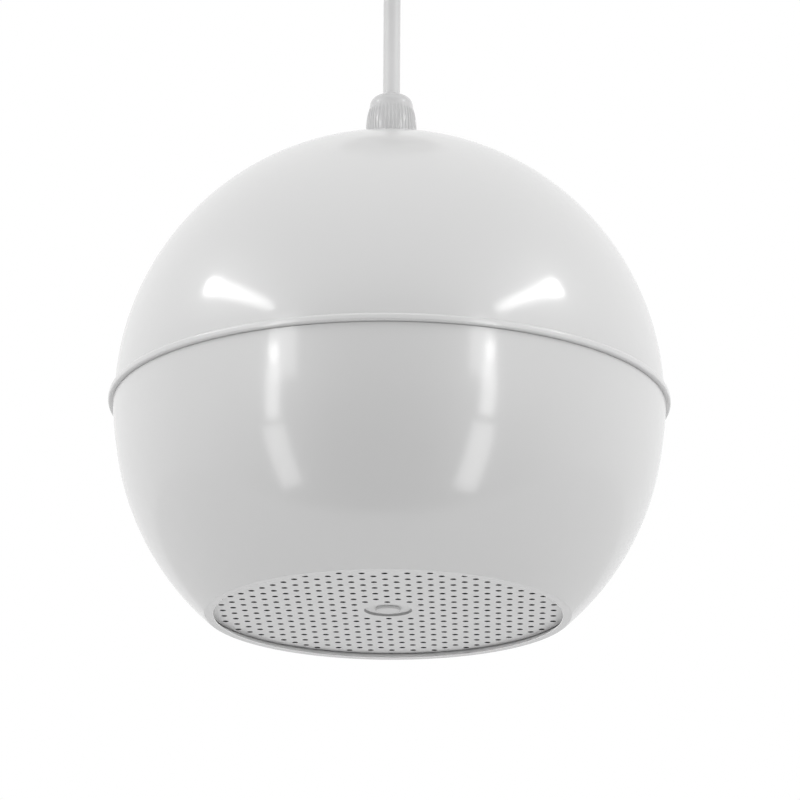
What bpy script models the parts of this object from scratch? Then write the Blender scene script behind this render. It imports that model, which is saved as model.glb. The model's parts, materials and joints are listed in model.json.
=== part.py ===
"""Pendant ball loudspeaker: a plastic ball in two halves, hung on its cable from a ceiling cup.

Metres, +Z up. The origin is the middle of the ceiling bracket's top face, where the speaker hangs.
The ball is drawn around the empty ball_middle, at the height where its two halves meet.
"""

import math

import bmesh
import bpy

# Clearance between pieces that seat on or pass through each other.
FIT = 0.0003

# Ball.
DOME_RADIUS = 0.1027
BOWL_STEP = 0.0003  # the bowl's skin lies this much inside the dome's
WALL = 0.0022
HALF_BAND = 0.0025  # straight band under the dome's sphere and over the bowl's
BEAD_OVERHANG = 0.0023
BEAD_HEIGHT = 0.0028
TONGUE_HEIGHT = 0.005
TONGUE_WALL = 0.0016
SNAP_DEPTH = 0.0005
SNAP_HEIGHT = 0.0006
TONGUE_SLOTS = 6
SLOT_WIDTH = 0.002
OPENING_INSET = 0.03501  # bowl's side to the rim of the bottom opening, seen from below

# Grille.
GRILLE_RECESS = 0.0023
GRILLE_SHEET = 0.0008
HOLE_STEP = 0.00406
HOLE_DIAMETER = 0.002
PATTERN_MARGIN = 0.0024
DISH_RADIUS = 0.0088
DISH_DEPTH = 0.0009
DISH_TAPER = 0.0003
DISH_CLEAR = 0.001  # solid sheet between the dish and the nearest holes
BUTTON_RADIUS = 0.0046
BUTTON_THICKNESS = 0.0009
GASKET_WIDTH = 0.004
GASKET_HEIGHT = 0.0078

# Driver.
BASKET_SHEET = 0.0012
FLANGE_WIDTH = 0.0119
SHELF_SET_BACK = 0.0032
SHELF_WIDTH = 0.0057
SPIDER_SHELF_RISE = 0.032
SPIDER_SHELF_RADIUS = 0.038
SPIDER_SHELF_WIDTH = 0.0055
BASKET_NOSE_RISE = 0.005
BASKET_HOLE_RADIUS = 0.0175
WINDOW_COUNT = 6
WINDOW_WIDTH = 0.025
WINDOW_LENGTH = 0.02
SURROUND_SHEET = 0.0007
ROLL_SPAN = 0.007  # basket's shelf to the cone's edge
ROLL_DEPTH = 0.0042
LIP_RISE = 0.0045
LIP_WIDTH = 0.0028
CONE_SHEET = 0.0007
CONE_DEPTH = 0.0195
CAP_RADIUS = 0.0158
CAP_SHEET = 0.0006
CAP_BULGE = 0.0045
COIL_BORE_RADIUS = 0.0121
FORMER_WALL = 0.0005
WINDING_DEPTH = 0.0005
WINDING_LENGTH = 0.008
COIL_TAIL = 0.006
SPIDER_SHEET = 0.0005
SPIDER_CUP = 0.0027
SPIDER_WAVE = 0.0005
POLE_GAP = 0.0005
COIL_GAP = 0.0006
VENT_RADIUS = 0.003
PLATE_RADIUS = 0.032
PLATE_THICKNESS = 0.005
MAGNET_RADIUS = 0.038
MAGNET_BORE_RADIUS = 0.017
MAGNET_HEIGHT = 0.015
BACK_PLATE_RADIUS = 0.034
BACK_PLATE_THICKNESS = 0.005
SCREW_INSET = 0.0034
SCREW_RADIUS = 0.0015
SCREW_HEAD_RADIUS = 0.003
SCREW_HEAD_HEIGHT = 0.002
SCREW_GRIP = 0.0042  # how far a driver screw reaches into its boss
BOSS_RADIUS = 0.0035
STRIP_WIDTH = 0.016
STRIP_HEIGHT = 0.014
STRIP_THICKNESS = 0.0015
STRIP_FOOT = 0.006

# Line transformer, hung on two pillars in the dome.
PILLAR_RADIUS = 0.004
PILLAR_SCREW_GRIP = 0.007
TRANSFORMER_OFFSET = 0.038
TRANSFORMER_CLEAR = 0.0053  # outer corners of its strap to the dome
CORE_WIDTH = 0.048
CORE_HEIGHT = 0.04
CORE_DEPTH = 0.018
LEG_WIDTH = 0.008
FRAME_SHEET = 0.0012
FRAME_FOOT = 0.0115

# Terminal block, on a pillar of its own.
BLOCK_OFFSET = 0.044
BLOCK_SIZE = (0.014, 0.03, 0.013)
CORE_WIRE_RADIUS = 0.0011
WIRE_SPACING = 0.0035
WIRE_BOW = 0.005  # how far a wire stands off before it turns

# Cable and its gland.
CABLE_RADIUS = 0.00325
GLAND_HOLE_RADIUS = 0.0078
GLAND_SEAT_RADIUS = 0.0125
GLAND_SEAT_DEPTH = 0.0022  # recess in the top of the dome
WASHER_RADIUS = 0.0115
WASHER_THICKNESS = 0.001
GLAND_HEX_RADIUS = 0.0109
GLAND_HEX_HEIGHT = 0.0045
SPIGOT_LENGTH = 0.0115
SPIGOT_BORE_RADIUS = 0.0046
COLLAR_RADIUS = 0.0075
COLLAR_HEIGHT = 0.008
COLLAR_BORE_RADIUS = 0.0062
SEAL_HEIGHT = 0.0082
LOCK_NUT_RADIUS = 0.011
LOCK_NUT_HEIGHT = 0.0035
NUT_FOOT_RADIUS = 0.0097
NUT_NECK_RADIUS = 0.0083  # where the ribs run out into the domed top
NUT_RIB_HEIGHT = 0.0121
NUT_DOME_HEIGHT = 0.0054
NUT_SIDE_POWER = 3.2  # how late the ribbed side curves in
NUT_DOME_POWER = 0.75  # below 1 the dome is squarer than an ellipse
NUT_RIBS = 30
NUT_RIB_DEPTH = 0.0004
NUT_WALL = 0.0018

# Ceiling fitting, just above the photograph's view.
CUP_RADIUS = 0.036
CUP_HEIGHT = 0.024
CUP_SHEET = 0.0012
CUP_CORNER = 0.006
BRACKET_WIDTH = 0.016
BRACKET_SHEET = 0.002
BRACKET_LEG = 0.014
BRACKET_INSET = 0.004  # from the cup's inside to the bracket's leg
CEILING_SCREW_OFFSET = 0.02
CEILING_SCREW_RADIUS = 0.0022
GRIP_RADIUS = 0.0075
GRIP_LENGTH = 0.01
GRIP_STEM_RADIUS = 0.005
GRIP_NUT_RADIUS = 0.0085
GRIP_NUT_HEIGHT = 0.003
GRIP_STEM_LENGTH = 0.0055
GRIP_SCREW_RADIUS = 0.0013
CONNECTOR_SIZE = (0.018, 0.012, 0.009)
CUP_SCREW_RADIUS = 0.0015
CUP_SCREW_HEAD = 0.0026
CABLE_SPAN = 0.0479  # free cable between the gland nut and the cord grip

# Sides of the round pieces.
BALL_SIDES = 32
DRIVER_SIDES = 16
SMALL_SIDES = 12
SCREW_SIDES = 6
BEND_STEPS = 6

# Heights above the middle plane, each from the piece that it seats on.
BOWL_RADIUS = DOME_RADIUS - BOWL_STEP
DOME_INSIDE = DOME_RADIUS - WALL
BOWL_INSIDE = BOWL_RADIUS - WALL
OPENING_RADIUS = BOWL_RADIUS - OPENING_INSET
RIM_DEPTH = HALF_BAND + math.sqrt(BOWL_RADIUS**2 - OPENING_RADIUS**2)
STRAP_REACH = CORE_WIDTH / 2 + FIT + FRAME_SHEET + FRAME_FOOT
STRAP_CORNER = math.hypot(TRANSFORMER_OFFSET + CORE_DEPTH / 2, STRAP_REACH)
PILLAR_DROP = HALF_BAND + math.sqrt(DOME_INSIDE**2 - STRAP_CORNER**2) - TRANSFORMER_CLEAR
SEAT_RIM = HALF_BAND + math.sqrt(DOME_RADIUS**2 - GLAND_SEAT_RADIUS**2)
SEAT_TOP = SEAT_RIM - GLAND_SEAT_DEPTH
SEAT_UNDER = SEAT_TOP - WALL
HEX_FOOT = SEAT_TOP + WASHER_THICKNESS + 2 * FIT
COLLAR_TOP = HEX_FOOT + GLAND_HEX_HEIGHT + COLLAR_HEIGHT
SEAL_FOOT = COLLAR_TOP - COLLAR_HEIGHT + FIT
SEAL_TOP = SEAL_FOOT + SEAL_HEIGHT
NUT_FOOT = HEX_FOOT + GLAND_HEX_HEIGHT + FIT
NUT_TOP = NUT_FOOT + NUT_RIB_HEIGHT + NUT_DOME_HEIGHT
MIDDLE_HEIGHT = -(CUP_HEIGHT + GRIP_LENGTH + CABLE_SPAN + NUT_TOP)
SIDE_SHARE = math.cos(math.pi / BALL_SIDES)  # flat of a ball's facets over its corner

GRILLE_FACE = GRILLE_RECESS - RIM_DEPTH
GRILLE_BACK = GRILLE_FACE + GRILLE_SHEET
BOSS_TOP = GRILLE_BACK + GASKET_HEIGHT + 2 * FIT
FLANGE_HEIGHT = BOSS_TOP + FIT + BASKET_SHEET / 2
SHELF_HEIGHT = FLANGE_HEIGHT + SHELF_SET_BACK
SPIDER_SHELF_HEIGHT = SHELF_HEIGHT + SPIDER_SHELF_RISE - SHELF_SET_BACK
NOSE_HEIGHT = SPIDER_SHELF_HEIGHT + BASKET_NOSE_RISE
PLATE_FRONT = NOSE_HEIGHT + BASKET_SHEET / 2 + FIT
MAGNET_FRONT = PLATE_FRONT + PLATE_THICKNESS + FIT
BACK_PLATE_FRONT = MAGNET_FRONT + MAGNET_HEIGHT + FIT
SURROUND_HEIGHT = SHELF_HEIGHT - (BASKET_SHEET + SURROUND_SHEET) / 2 - FIT
LIP_HEIGHT = SURROUND_HEIGHT + LIP_RISE
CONE_EDGE_HEIGHT = LIP_HEIGHT + (SURROUND_SHEET + CONE_SHEET) / 2 + FIT
CONE_NECK_HEIGHT = CONE_EDGE_HEIGHT + CONE_DEPTH
SPIDER_RIM_HEIGHT = SPIDER_SHELF_HEIGHT - (BASKET_SHEET + SPIDER_SHEET) / 2 - FIT


def inside_radius(height):
    """Clear radius inside the bowl's flat facets at a height."""
    return math.sqrt(BOWL_INSIDE**2 - (height + HALF_BAND) ** 2) * SIDE_SHARE


GRILLE_RADIUS = inside_radius(GRILLE_FACE) - FIT
GASKET_RADIUS = GRILLE_RADIUS - FIT
FLANGE_RADIUS = inside_radius(BOSS_TOP) - 2 * FIT
BOSS_CIRCLE = FLANGE_RADIUS - SCREW_INSET
SHELF_OUTSIDE = FLANGE_RADIUS - FLANGE_WIDTH
SHELF_INSIDE = SHELF_OUTSIDE - SHELF_WIDTH
CONE_RADIUS = SHELF_INSIDE - ROLL_SPAN
FORMER_RADIUS = COIL_BORE_RADIUS + FORMER_WALL
WINDING_RADIUS = FORMER_RADIUS + WINDING_DEPTH
NECK_RADIUS = FORMER_RADIUS + CONE_SHEET / 2 + 2 * FIT
PLATE_BORE_RADIUS = WINDING_RADIUS + COIL_GAP
POLE_RADIUS = COIL_BORE_RADIUS - POLE_GAP
CABLE_BORE_RADIUS = CABLE_RADIUS + FIT

PARTS = bpy.data.collections.new("pendant_speaker")
TOOLS = bpy.data.collections.new("shaping_tools")


def clear_scene():
    for old in list(bpy.data.objects):
        bpy.data.objects.remove(old, do_unlink=True)
    for group in (PARTS, TOOLS):
        bpy.context.scene.collection.children.link(group)


def empty_at(name, height, parent=None):
    mark = bpy.data.objects.new(name, None)
    mark.location.z = height
    mark.parent = parent
    PARTS.objects.link(mark)
    return mark


def finish(name, colour, roughness, metallic=0.0):
    """A painted, moulded or metal finish."""
    material = bpy.data.materials.new(name)
    material.use_nodes = True
    material.diffuse_color = (*colour, 1)
    shader = material.node_tree.nodes["Principled BSDF"]
    shader.inputs["Base Color"].default_value = (*colour, 1)
    shader.inputs["Roughness"].default_value = roughness
    shader.inputs["Metallic"].default_value = metallic
    return material


def place(name, data, parent, location=(0, 0, 0), turn=0.0, group=None):
    """A new object, turned about Z and set in its parent's frame."""
    thing = bpy.data.objects.new(name, data)
    thing.parent = parent
    thing.location = location
    thing.rotation_euler.z = turn
    (group or PARTS).objects.link(thing)
    return thing


def dress(thing, look):
    """Give a piece its own material, and shade its round faces smooth."""
    thing.data.materials.clear()
    thing.data.materials.append(finish(thing.name, *look))
    if thing.type == "MESH":
        thing.data.shade_smooth()
        if thing.data.polygons:
            thing.data.set_sharp_from_angle(angle=math.radians(35))
    return thing


def turned(name, profile, sides, parent, closed=True, group=None, location=(0, 0, 0)):
    """A profile of (radius, height) points turned about Z, down its outer side."""
    last = len(profile) - 1
    edges = [(i, i + 1) for i in range(last)]
    if closed:
        edges.append((last, 0))
    mesh = bpy.data.meshes.new(name)
    mesh.from_pydata([(r, 0, z) for r, z in profile], edges, [])
    thing = place(name, mesh, parent, location, group=group)
    screw = thing.modifiers.new("Turn", "SCREW")
    screw.steps = sides
    screw.render_steps = sides
    screw.use_merge_vertices = True
    screw.merge_threshold = 0.00001
    screw.use_smooth_shade = True
    return thing


def turned_sheet(name, line, thickness, sides, parent):
    """A thin wall turned about Z, with the line in the middle of its thickness."""
    thing = turned(name, line, sides, parent, closed=False)
    wall = thing.modifiers.new("Wall", "SOLIDIFY")
    wall.thickness = thickness
    wall.offset = 0
    wall.use_even_offset = True
    return thing


def primitive(name, parent, location, group, build):
    mesh = bpy.data.meshes.new(name)
    shape = bmesh.new()
    build(shape)
    shape.to_mesh(mesh)
    shape.free()
    return place(name, mesh, parent, location, group=group)


def block(name, size, parent, location=(0, 0, 0), group=None):
    """A box of three sides, about its middle."""

    def build(shape):
        bmesh.ops.create_cube(shape, size=1)
        bmesh.ops.scale(shape, vec=size, verts=shape.verts)

    return primitive(name, parent, location, group, build)


def rod(name, radius, foot, top, sides, parent, at=(0, 0), group=None, top_radius=None):
    """A cylinder, prism or taper that stands from foot to top."""

    def build(shape):
        bmesh.ops.create_cone(
            shape,
            cap_ends=True,
            segments=sides,
            radius1=radius,
            radius2=radius if top_radius is None else top_radius,
            depth=top - foot,
        )

    return primitive(name, parent, (*at, (foot + top) / 2), group, build)


def lying_rod(name, radius, near, far, turn, height, parent, group=None):
    """A cylinder along the radius at angle turn, from near to far."""
    middle = (near + far) / 2
    place_at = (middle * math.cos(turn), middle * math.sin(turn))
    thing = rod(name, radius, 0, far - near, SCREW_SIDES, parent, place_at, group)
    thing.location.z = height
    thing.rotation_euler = (0, math.pi / 2, turn)
    return thing


def outline_mesh(name, loops, thickness):
    """A flat outline with its holes, as a closed plate about z = 0."""
    curve = bpy.data.curves.new(name, "CURVE")
    curve.dimensions = "2D"
    curve.fill_mode = "BOTH"
    curve.extrude = thickness / 2
    for loop in loops:
        spline = curve.splines.new("POLY")
        spline.points.add(len(loop) - 1)
        for point, (x, y) in zip(spline.points, loop, strict=True):
            point.co = (x, y, 0, 1)
        spline.use_cyclic_u = True
    flat = bpy.data.objects.new(name, curve)
    mesh = bpy.data.meshes.new_from_object(flat)
    bpy.data.objects.remove(flat)
    bpy.data.curves.remove(curve)
    shape = bmesh.new()
    shape.from_mesh(mesh)
    bmesh.ops.remove_doubles(shape, verts=shape.verts, dist=0.000001)
    shape.to_mesh(mesh)
    shape.free()
    return mesh


def pressed(name, loops, thickness, parent, location=(0, 0, 0), group=None):
    return place(name, outline_mesh(name, loops, thickness), parent, location, group=group)


def shape_with(thing, tool, operation):
    """Cut a piece by a tool, or join the tool's form to it."""
    change = thing.modifiers.new(tool.name, "BOOLEAN")
    change.operation = operation
    change.object = tool
    change.solver = "EXACT"
    tool.hide_render = True
    tool.display_type = "WIRE"
    return thing


def cut(thing, tool):
    return shape_with(thing, tool, "DIFFERENCE")


def join(thing, tool):
    return shape_with(thing, tool, "UNION")


def arc(radius, centre, start, end, steps):
    """Outline of a ball, from one height to another."""
    first = math.asin((start - centre) / radius)
    last = math.asin((end - centre) / radius)
    angles = [first + (last - first) * i / steps for i in range(steps + 1)]
    return [(radius * math.cos(a), centre + radius * math.sin(a)) for a in angles]


def circle(radius, sides, middle=(0, 0), turn=0.0):
    angles = [turn + math.tau * i / sides for i in range(sides)]
    return [(middle[0] + radius * math.cos(a), middle[1] + radius * math.sin(a)) for a in angles]


def rectangle(width, height, middle=(0, 0)):
    x, y = middle
    w, h = width / 2, height / 2
    return [(x - w, y - h), (x + w, y - h), (x + w, y + h), (x - w, y + h)]


def smooth_route(points, steps):
    """Points on a smooth curve through the route's own points."""
    ends = [points[0], *points, points[-1]]
    route = []
    for a, b, c, d in zip(ends, ends[1:], ends[2:], ends[3:]):
        for i in range(steps):
            t = i / steps
            route.append(
                tuple(
                    q + 0.5 * t * (r - p + t * (2 * p - 5 * q + 4 * r - s + t * (3 * (q - r) + s - p)))
                    for p, q, r, s in zip(a, b, c, d)
                )
            )
    return [*route, points[-1]]


def tube(name, radius, route, parent):
    """A round wire or cable along a route."""
    curve = bpy.data.curves.new(name, "CURVE")
    curve.dimensions = "3D"
    curve.bevel_depth = radius
    curve.bevel_resolution = 2
    curve.use_fill_caps = True
    spline = curve.splines.new("POLY")
    spline.points.add(len(route) - 1)
    for point, place_at in zip(spline.points, route, strict=True):
        point.co = (*place_at, 1)
    return place(name, curve, parent)


def mid_wall_ball(name, radius, centre, parent):
    """A solid ball whose skin runs inside a shell's wall, to end bosses and pillars there."""
    profile = [(0, centre + radius)]
    profile += arc(radius, centre, centre + radius, centre - radius, 2 * BEND_STEPS)[1:-1]
    profile.append((0, centre - radius))
    return turned(name, profile, BALL_SIDES, parent, closed=False, group=TOOLS)


# Finishes as colour, roughness and metallic value.
SHELL = ((0.62, 0.62, 0.62), 0.35)
PAINTED_GRILLE = ((0.56, 0.56, 0.56), 0.5)
BUTTON = ((0.7, 0.7, 0.7), 0.4)
GREY_NYLON = ((0.6, 0.61, 0.62), 0.4)
CABLE_JACKET = ((0.6, 0.6, 0.6), 0.5)
BLACK_RUBBER = ((0.03, 0.03, 0.03), 0.8)
BLACK_FOAM = ((0.02, 0.02, 0.02), 0.95)
BLACK_PAPER = ((0.03, 0.03, 0.03), 0.9)
CLOTH = ((0.5, 0.32, 0.1), 0.9)
STEEL = ((0.55, 0.55, 0.55), 0.35, 1.0)
BLACK_STEEL = ((0.03, 0.03, 0.03), 0.5)
FERRITE = ((0.05, 0.05, 0.055), 0.7)
COPPER = ((0.6, 0.25, 0.12), 0.4, 1.0)
LAMINATIONS = ((0.25, 0.25, 0.27), 0.5, 1.0)
YELLOW_TAPE = ((0.6, 0.45, 0.1), 0.6)
PHENOLIC = ((0.3, 0.14, 0.05), 0.6)
WHITE_PLASTIC = ((0.75, 0.75, 0.72), 0.4)
RED_WIRE = ((0.5, 0.02, 0.02), 0.4)
BLACK_WIRE = ((0.02, 0.02, 0.02), 0.4)
BROWN_WIRE = ((0.2, 0.07, 0.02), 0.4)
BLUE_WIRE = ((0.02, 0.06, 0.4), 0.4)


def snap_height():
    return TONGUE_HEIGHT - 0.75 * SNAP_HEIGHT - FIT


def upper_dome(ball):
    bead_radius = DOME_RADIUS + BEAD_OVERHANG
    bead_top = FIT + BEAD_HEIGHT
    round_over = BEAD_OVERHANG * 0.6
    profile = [(GLAND_HOLE_RADIUS, SEAT_TOP), (GLAND_SEAT_RADIUS, SEAT_TOP)]
    profile += arc(DOME_RADIUS, HALF_BAND, SEAT_RIM, bead_top, BEND_STEPS)
    for i in range(1, 3):
        lean = math.pi / 2 * i / 2
        profile.append(
            (
                bead_radius - round_over * (1 - math.sin(lean)),
                bead_top - round_over * (1 - math.cos(lean)),
            )
        )
    profile += [(bead_radius, FIT), (DOME_INSIDE, FIT)]
    groove_half = SNAP_HEIGHT / 2 + FIT
    groove_radius = DOME_INSIDE + SNAP_DEPTH + FIT
    groove_foot = snap_height() - groove_half
    groove_top = snap_height() + groove_half
    profile += [
        (DOME_INSIDE, groove_foot),
        (groove_radius, groove_foot),
        (groove_radius, groove_top),
        (DOME_INSIDE, groove_top),
    ]
    seat_outside = GLAND_SEAT_RADIUS + WALL
    inner_seat = HALF_BAND + math.sqrt(DOME_INSIDE**2 - seat_outside**2)
    start = max(groove_top + FIT, HALF_BAND)
    profile += arc(DOME_INSIDE, HALF_BAND, start, inner_seat, BEND_STEPS - 1)
    profile += [(seat_outside, SEAT_UNDER), (GLAND_HOLE_RADIUS, SEAT_UNDER)]
    dome = turned("upper_dome", profile, BALL_SIDES, ball)
    pillars = [(-TRANSFORMER_OFFSET, side * foot_screw_offset()) for side in (-1, 1)]
    pillars.append((BLOCK_OFFSET, 0))
    core = mid_wall_ball("dome_core", DOME_RADIUS - WALL / 2, HALF_BAND, ball)
    for number, at in enumerate(pillars, 1):
        pillar = rod(
            f"pillar_{number}", PILLAR_RADIUS, PILLAR_DROP, DOME_RADIUS, SMALL_SIDES, ball, at, TOOLS
        )
        shape_with(pillar, core, "INTERSECT")
        join(dome, pillar)
    for number, at in enumerate(pillars, 1):
        pilot = rod(
            f"pillar_pilot_{number}",
            SCREW_RADIUS + FIT,
            PILLAR_DROP - FIT,
            PILLAR_DROP + PILLAR_SCREW_GRIP + FIT,
            SCREW_SIDES,
            ball,
            at,
            TOOLS,
        )
        cut(dome, pilot)
    return dress(dome, SHELL)


def boss_places():
    angles = [math.pi / 4 + math.pi / 2 * i for i in range(4)]
    return [(BOSS_CIRCLE * math.cos(a), BOSS_CIRCLE * math.sin(a)) for a in angles]


def lower_bowl(ball):
    tongue_radius = DOME_INSIDE - FIT
    tongue_bore = tongue_radius - TONGUE_WALL
    snap_radius = DOME_INSIDE + SNAP_DEPTH
    profile = [
        (tongue_bore, TONGUE_HEIGHT),
        (tongue_radius - FIT, TONGUE_HEIGHT),
        (snap_radius, snap_height() + SNAP_HEIGHT / 2),
        (snap_radius, snap_height()),
        (tongue_radius, snap_height() - SNAP_HEIGHT / 2),
        (tongue_radius, 0),
        (BOWL_RADIUS, 0),
    ]
    profile += arc(BOWL_RADIUS, -HALF_BAND, -HALF_BAND, -RIM_DEPTH, BEND_STEPS)
    throat = -HALF_BAND - 3 * TONGUE_WALL
    profile += arc(BOWL_INSIDE, -HALF_BAND, -RIM_DEPTH, throat, BEND_STEPS - 1)
    profile.append((tongue_bore, -HALF_BAND))
    bowl = turned("lower_bowl", profile, BALL_SIDES, ball)
    core = mid_wall_ball("bowl_core", BOWL_RADIUS - WALL / 2, -HALF_BAND, ball)
    for number, at in enumerate(boss_places(), 1):
        boss = rod(f"boss_{number}", BOSS_RADIUS, -RIM_DEPTH, BOSS_TOP, SMALL_SIDES, ball, at, TOOLS)
        shape_with(boss, core, "INTERSECT")
        join(bowl, boss)
    for number, at in enumerate(boss_places(), 1):
        pilot = rod(
            f"boss_pilot_{number}",
            SCREW_RADIUS + FIT,
            BOSS_TOP - SCREW_GRIP - FIT,
            BOSS_TOP + FIT,
            SCREW_SIDES,
            ball,
            at,
            TOOLS,
        )
        cut(bowl, pilot)
    middle = (tongue_bore + tongue_radius) / 2
    for number in range(TONGUE_SLOTS):
        angle = math.tau * (number + 0.5) / TONGUE_SLOTS
        slot = block(
            f"tongue_slot_{number + 1}",
            (4 * TONGUE_WALL, SLOT_WIDTH, 2 * TONGUE_HEIGHT),
            ball,
            (middle * math.cos(angle), middle * math.sin(angle), TONGUE_HEIGHT + 2 * FIT),
            TOOLS,
        )
        slot.rotation_euler.z = angle
        cut(bowl, slot)
    return dress(bowl, SHELL)


def hole_places():
    """Rows set half a pitch off each other, inside the rim and outside the dish."""
    reach = GRILLE_RADIUS - PATTERN_MARGIN
    clear = DISH_RADIUS + DISH_CLEAR
    count = int(reach / HOLE_STEP)
    places = []
    for row in range(-count, count + 1):
        for column in range(-count, count + 1):
            distance = HOLE_STEP * math.hypot(row, column)
            if (row + column) % 2 and clear < distance < reach:
                places.append((HOLE_STEP * column, HOLE_STEP * row))
    return places


def press_dish(mesh):
    """Draw the sheet round the middle hole up into a flat dish, on both faces."""
    shape = bmesh.new()
    shape.from_mesh(mesh)
    edge_reach = DISH_RADIUS + DISH_CLEAR / 2
    wall = [f for f in shape.faces if all(v.co.to_2d().length < edge_reach for v in f.verts)]
    bmesh.ops.delete(shape, geom=wall, context="FACES_ONLY")
    bmesh.ops.delete(shape, geom=[e for e in shape.edges if e.is_wire], context="EDGES")
    for side in (-1, 1):
        rim = [e for e in shape.edges if e.is_boundary and e.verts[0].co.z * side > 0]
        drawn = bmesh.ops.extrude_edge_only(shape, edges=rim)["geom"]
        points = {v for v in drawn if isinstance(v, bmesh.types.BMVert)}
        inward = 1 - DISH_TAPER / DISH_RADIUS
        bmesh.ops.scale(shape, vec=(inward, inward, 1), verts=list(points))
        bmesh.ops.translate(shape, vec=(0, 0, DISH_DEPTH), verts=list(points))
        edges = [e for e in drawn if isinstance(e, bmesh.types.BMEdge)]
        floor = [e for e in edges if points.issuperset(e.verts)]
        bmesh.ops.contextual_create(shape, geom=floor)
    bmesh.ops.recalc_face_normals(shape, faces=shape.faces)
    shape.to_mesh(mesh)
    shape.free()


def grille(ball):
    """Perforated disc, each hole a triangle of a round hole's area, with a pressed dish."""
    corner = HOLE_DIAMETER * math.sqrt(math.pi / math.sqrt(27))
    loops = [circle(GRILLE_RADIUS, BALL_SIDES), circle(DISH_RADIUS, DRIVER_SIDES)]
    loops += [circle(corner, 3, at) for at in hole_places()]
    middle = (GRILLE_FACE + GRILLE_BACK) / 2
    disc = pressed("grille", loops, GRILLE_SHEET, ball, (0, 0, middle))
    press_dish(disc.data)
    return dress(disc, PAINTED_GRILLE)


def badge_button(ball):
    top = GRILLE_FACE + DISH_DEPTH - FIT
    edge = BUTTON_THICKNESS / 3
    profile = [
        (0, top),
        (BUTTON_RADIUS, top),
        (BUTTON_RADIUS, top - BUTTON_THICKNESS + edge),
        (BUTTON_RADIUS - edge, top - BUTTON_THICKNESS),
        (0, top - BUTTON_THICKNESS),
    ]
    return dress(turned("badge_button", profile, DRIVER_SIDES, ball, closed=False), BUTTON)


def ring_profile(inside, outside, foot, top):
    return [(inside, top), (outside, top), (outside, foot), (inside, foot)]


def ring(name, inside, outside, foot, top, sides, parent, look):
    profile = ring_profile(inside, outside, foot, top)
    return dress(turned(name, profile, sides, parent), look)


def grille_gasket(ball):
    foot = GRILLE_BACK + FIT
    inside = GASKET_RADIUS - GASKET_WIDTH
    return ring(
        "grille_gasket", inside, GASKET_RADIUS, foot, BOSS_TOP - FIT, DRIVER_SIDES, ball, BLACK_FOAM
    )


def basket(ball):
    """Pressed steel frame of the driver, with windows in its sloping wall."""
    nose_radius = SPIDER_SHELF_RADIUS - SPIDER_SHELF_WIDTH - BASKET_SHEET
    line = [
        (FLANGE_RADIUS, FLANGE_HEIGHT),
        (SHELF_OUTSIDE, FLANGE_HEIGHT),
        (SHELF_OUTSIDE, SHELF_HEIGHT),
        (SHELF_INSIDE, SHELF_HEIGHT),
        (SPIDER_SHELF_RADIUS, SPIDER_SHELF_HEIGHT),
        (nose_radius + BASKET_SHEET, SPIDER_SHELF_HEIGHT),
        (nose_radius, NOSE_HEIGHT),
        (BASKET_HOLE_RADIUS, NOSE_HEIGHT),
    ]
    frame = turned_sheet("basket", line, BASKET_SHEET, DRIVER_SIDES, ball)
    for number, at in enumerate(boss_places(), 1):
        hole = rod(
            f"flange_hole_{number}",
            SCREW_RADIUS + FIT,
            FLANGE_HEIGHT - BASKET_SHEET,
            FLANGE_HEIGHT + BASKET_SHEET,
            SCREW_SIDES,
            ball,
            at,
            TOOLS,
        )
        cut(frame, hole)
    wall_run = SHELF_INSIDE - SPIDER_SHELF_RADIUS
    wall_rise = SPIDER_SHELF_HEIGHT - SHELF_HEIGHT
    wall_radius = (SHELF_INSIDE + SPIDER_SHELF_RADIUS) / 2
    window_height = (SPIDER_SHELF_HEIGHT + SHELF_HEIGHT) / 2
    lean = math.atan2(wall_run, wall_rise)
    for number in range(WINDOW_COUNT):
        angle = math.tau * (number + 0.5) / WINDOW_COUNT
        window = block(
            f"window_{number + 1}",
            (8 * BASKET_SHEET, WINDOW_WIDTH, WINDOW_LENGTH),
            ball,
            (wall_radius * math.cos(angle), wall_radius * math.sin(angle), window_height),
            TOOLS,
        )
        window.rotation_euler = (0, -lean, angle)
        cut(frame, window)
    return dress(frame, BLACK_STEEL)


def cone_height(radius):
    """Middle of the cone's wall, steeper towards its neck."""
    edge = CONE_RADIUS - LIP_WIDTH
    share = (radius - NECK_RADIUS) / (edge - NECK_RADIUS)
    return CONE_NECK_HEIGHT - CONE_DEPTH * share**0.85


def cone(mover):
    edge = CONE_RADIUS - LIP_WIDTH
    steps = 4
    radii = [edge + (NECK_RADIUS - edge) * i / steps for i in range(steps + 1)]
    line = [(CONE_RADIUS, CONE_EDGE_HEIGHT)] + [(r, cone_height(r)) for r in radii]
    return dress(turned_sheet("cone", line, CONE_SHEET, DRIVER_SIDES, mover), BLACK_PAPER)


def surround(ball):
    """Rubber half roll between the basket's shelf and the cone's edge."""
    outer = SHELF_OUTSIDE - BASKET_SHEET / 2 - FIT
    roll_outside = SHELF_INSIDE
    roll_inside = CONE_RADIUS + SURROUND_SHEET
    middle = (roll_outside + roll_inside) / 2
    half = (roll_outside - roll_inside) / 2
    line = [(outer, SURROUND_HEIGHT)]
    for i in range(5):
        angle = math.pi * i / 4
        line.append((middle + half * math.cos(angle), SURROUND_HEIGHT - ROLL_DEPTH * math.sin(angle)))
    line += [(roll_inside, LIP_HEIGHT), (CONE_RADIUS - LIP_WIDTH + FIT, LIP_HEIGHT)]
    return dress(turned_sheet("surround", line, SURROUND_SHEET, DRIVER_SIDES, ball), BLACK_RUBBER)


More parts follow.
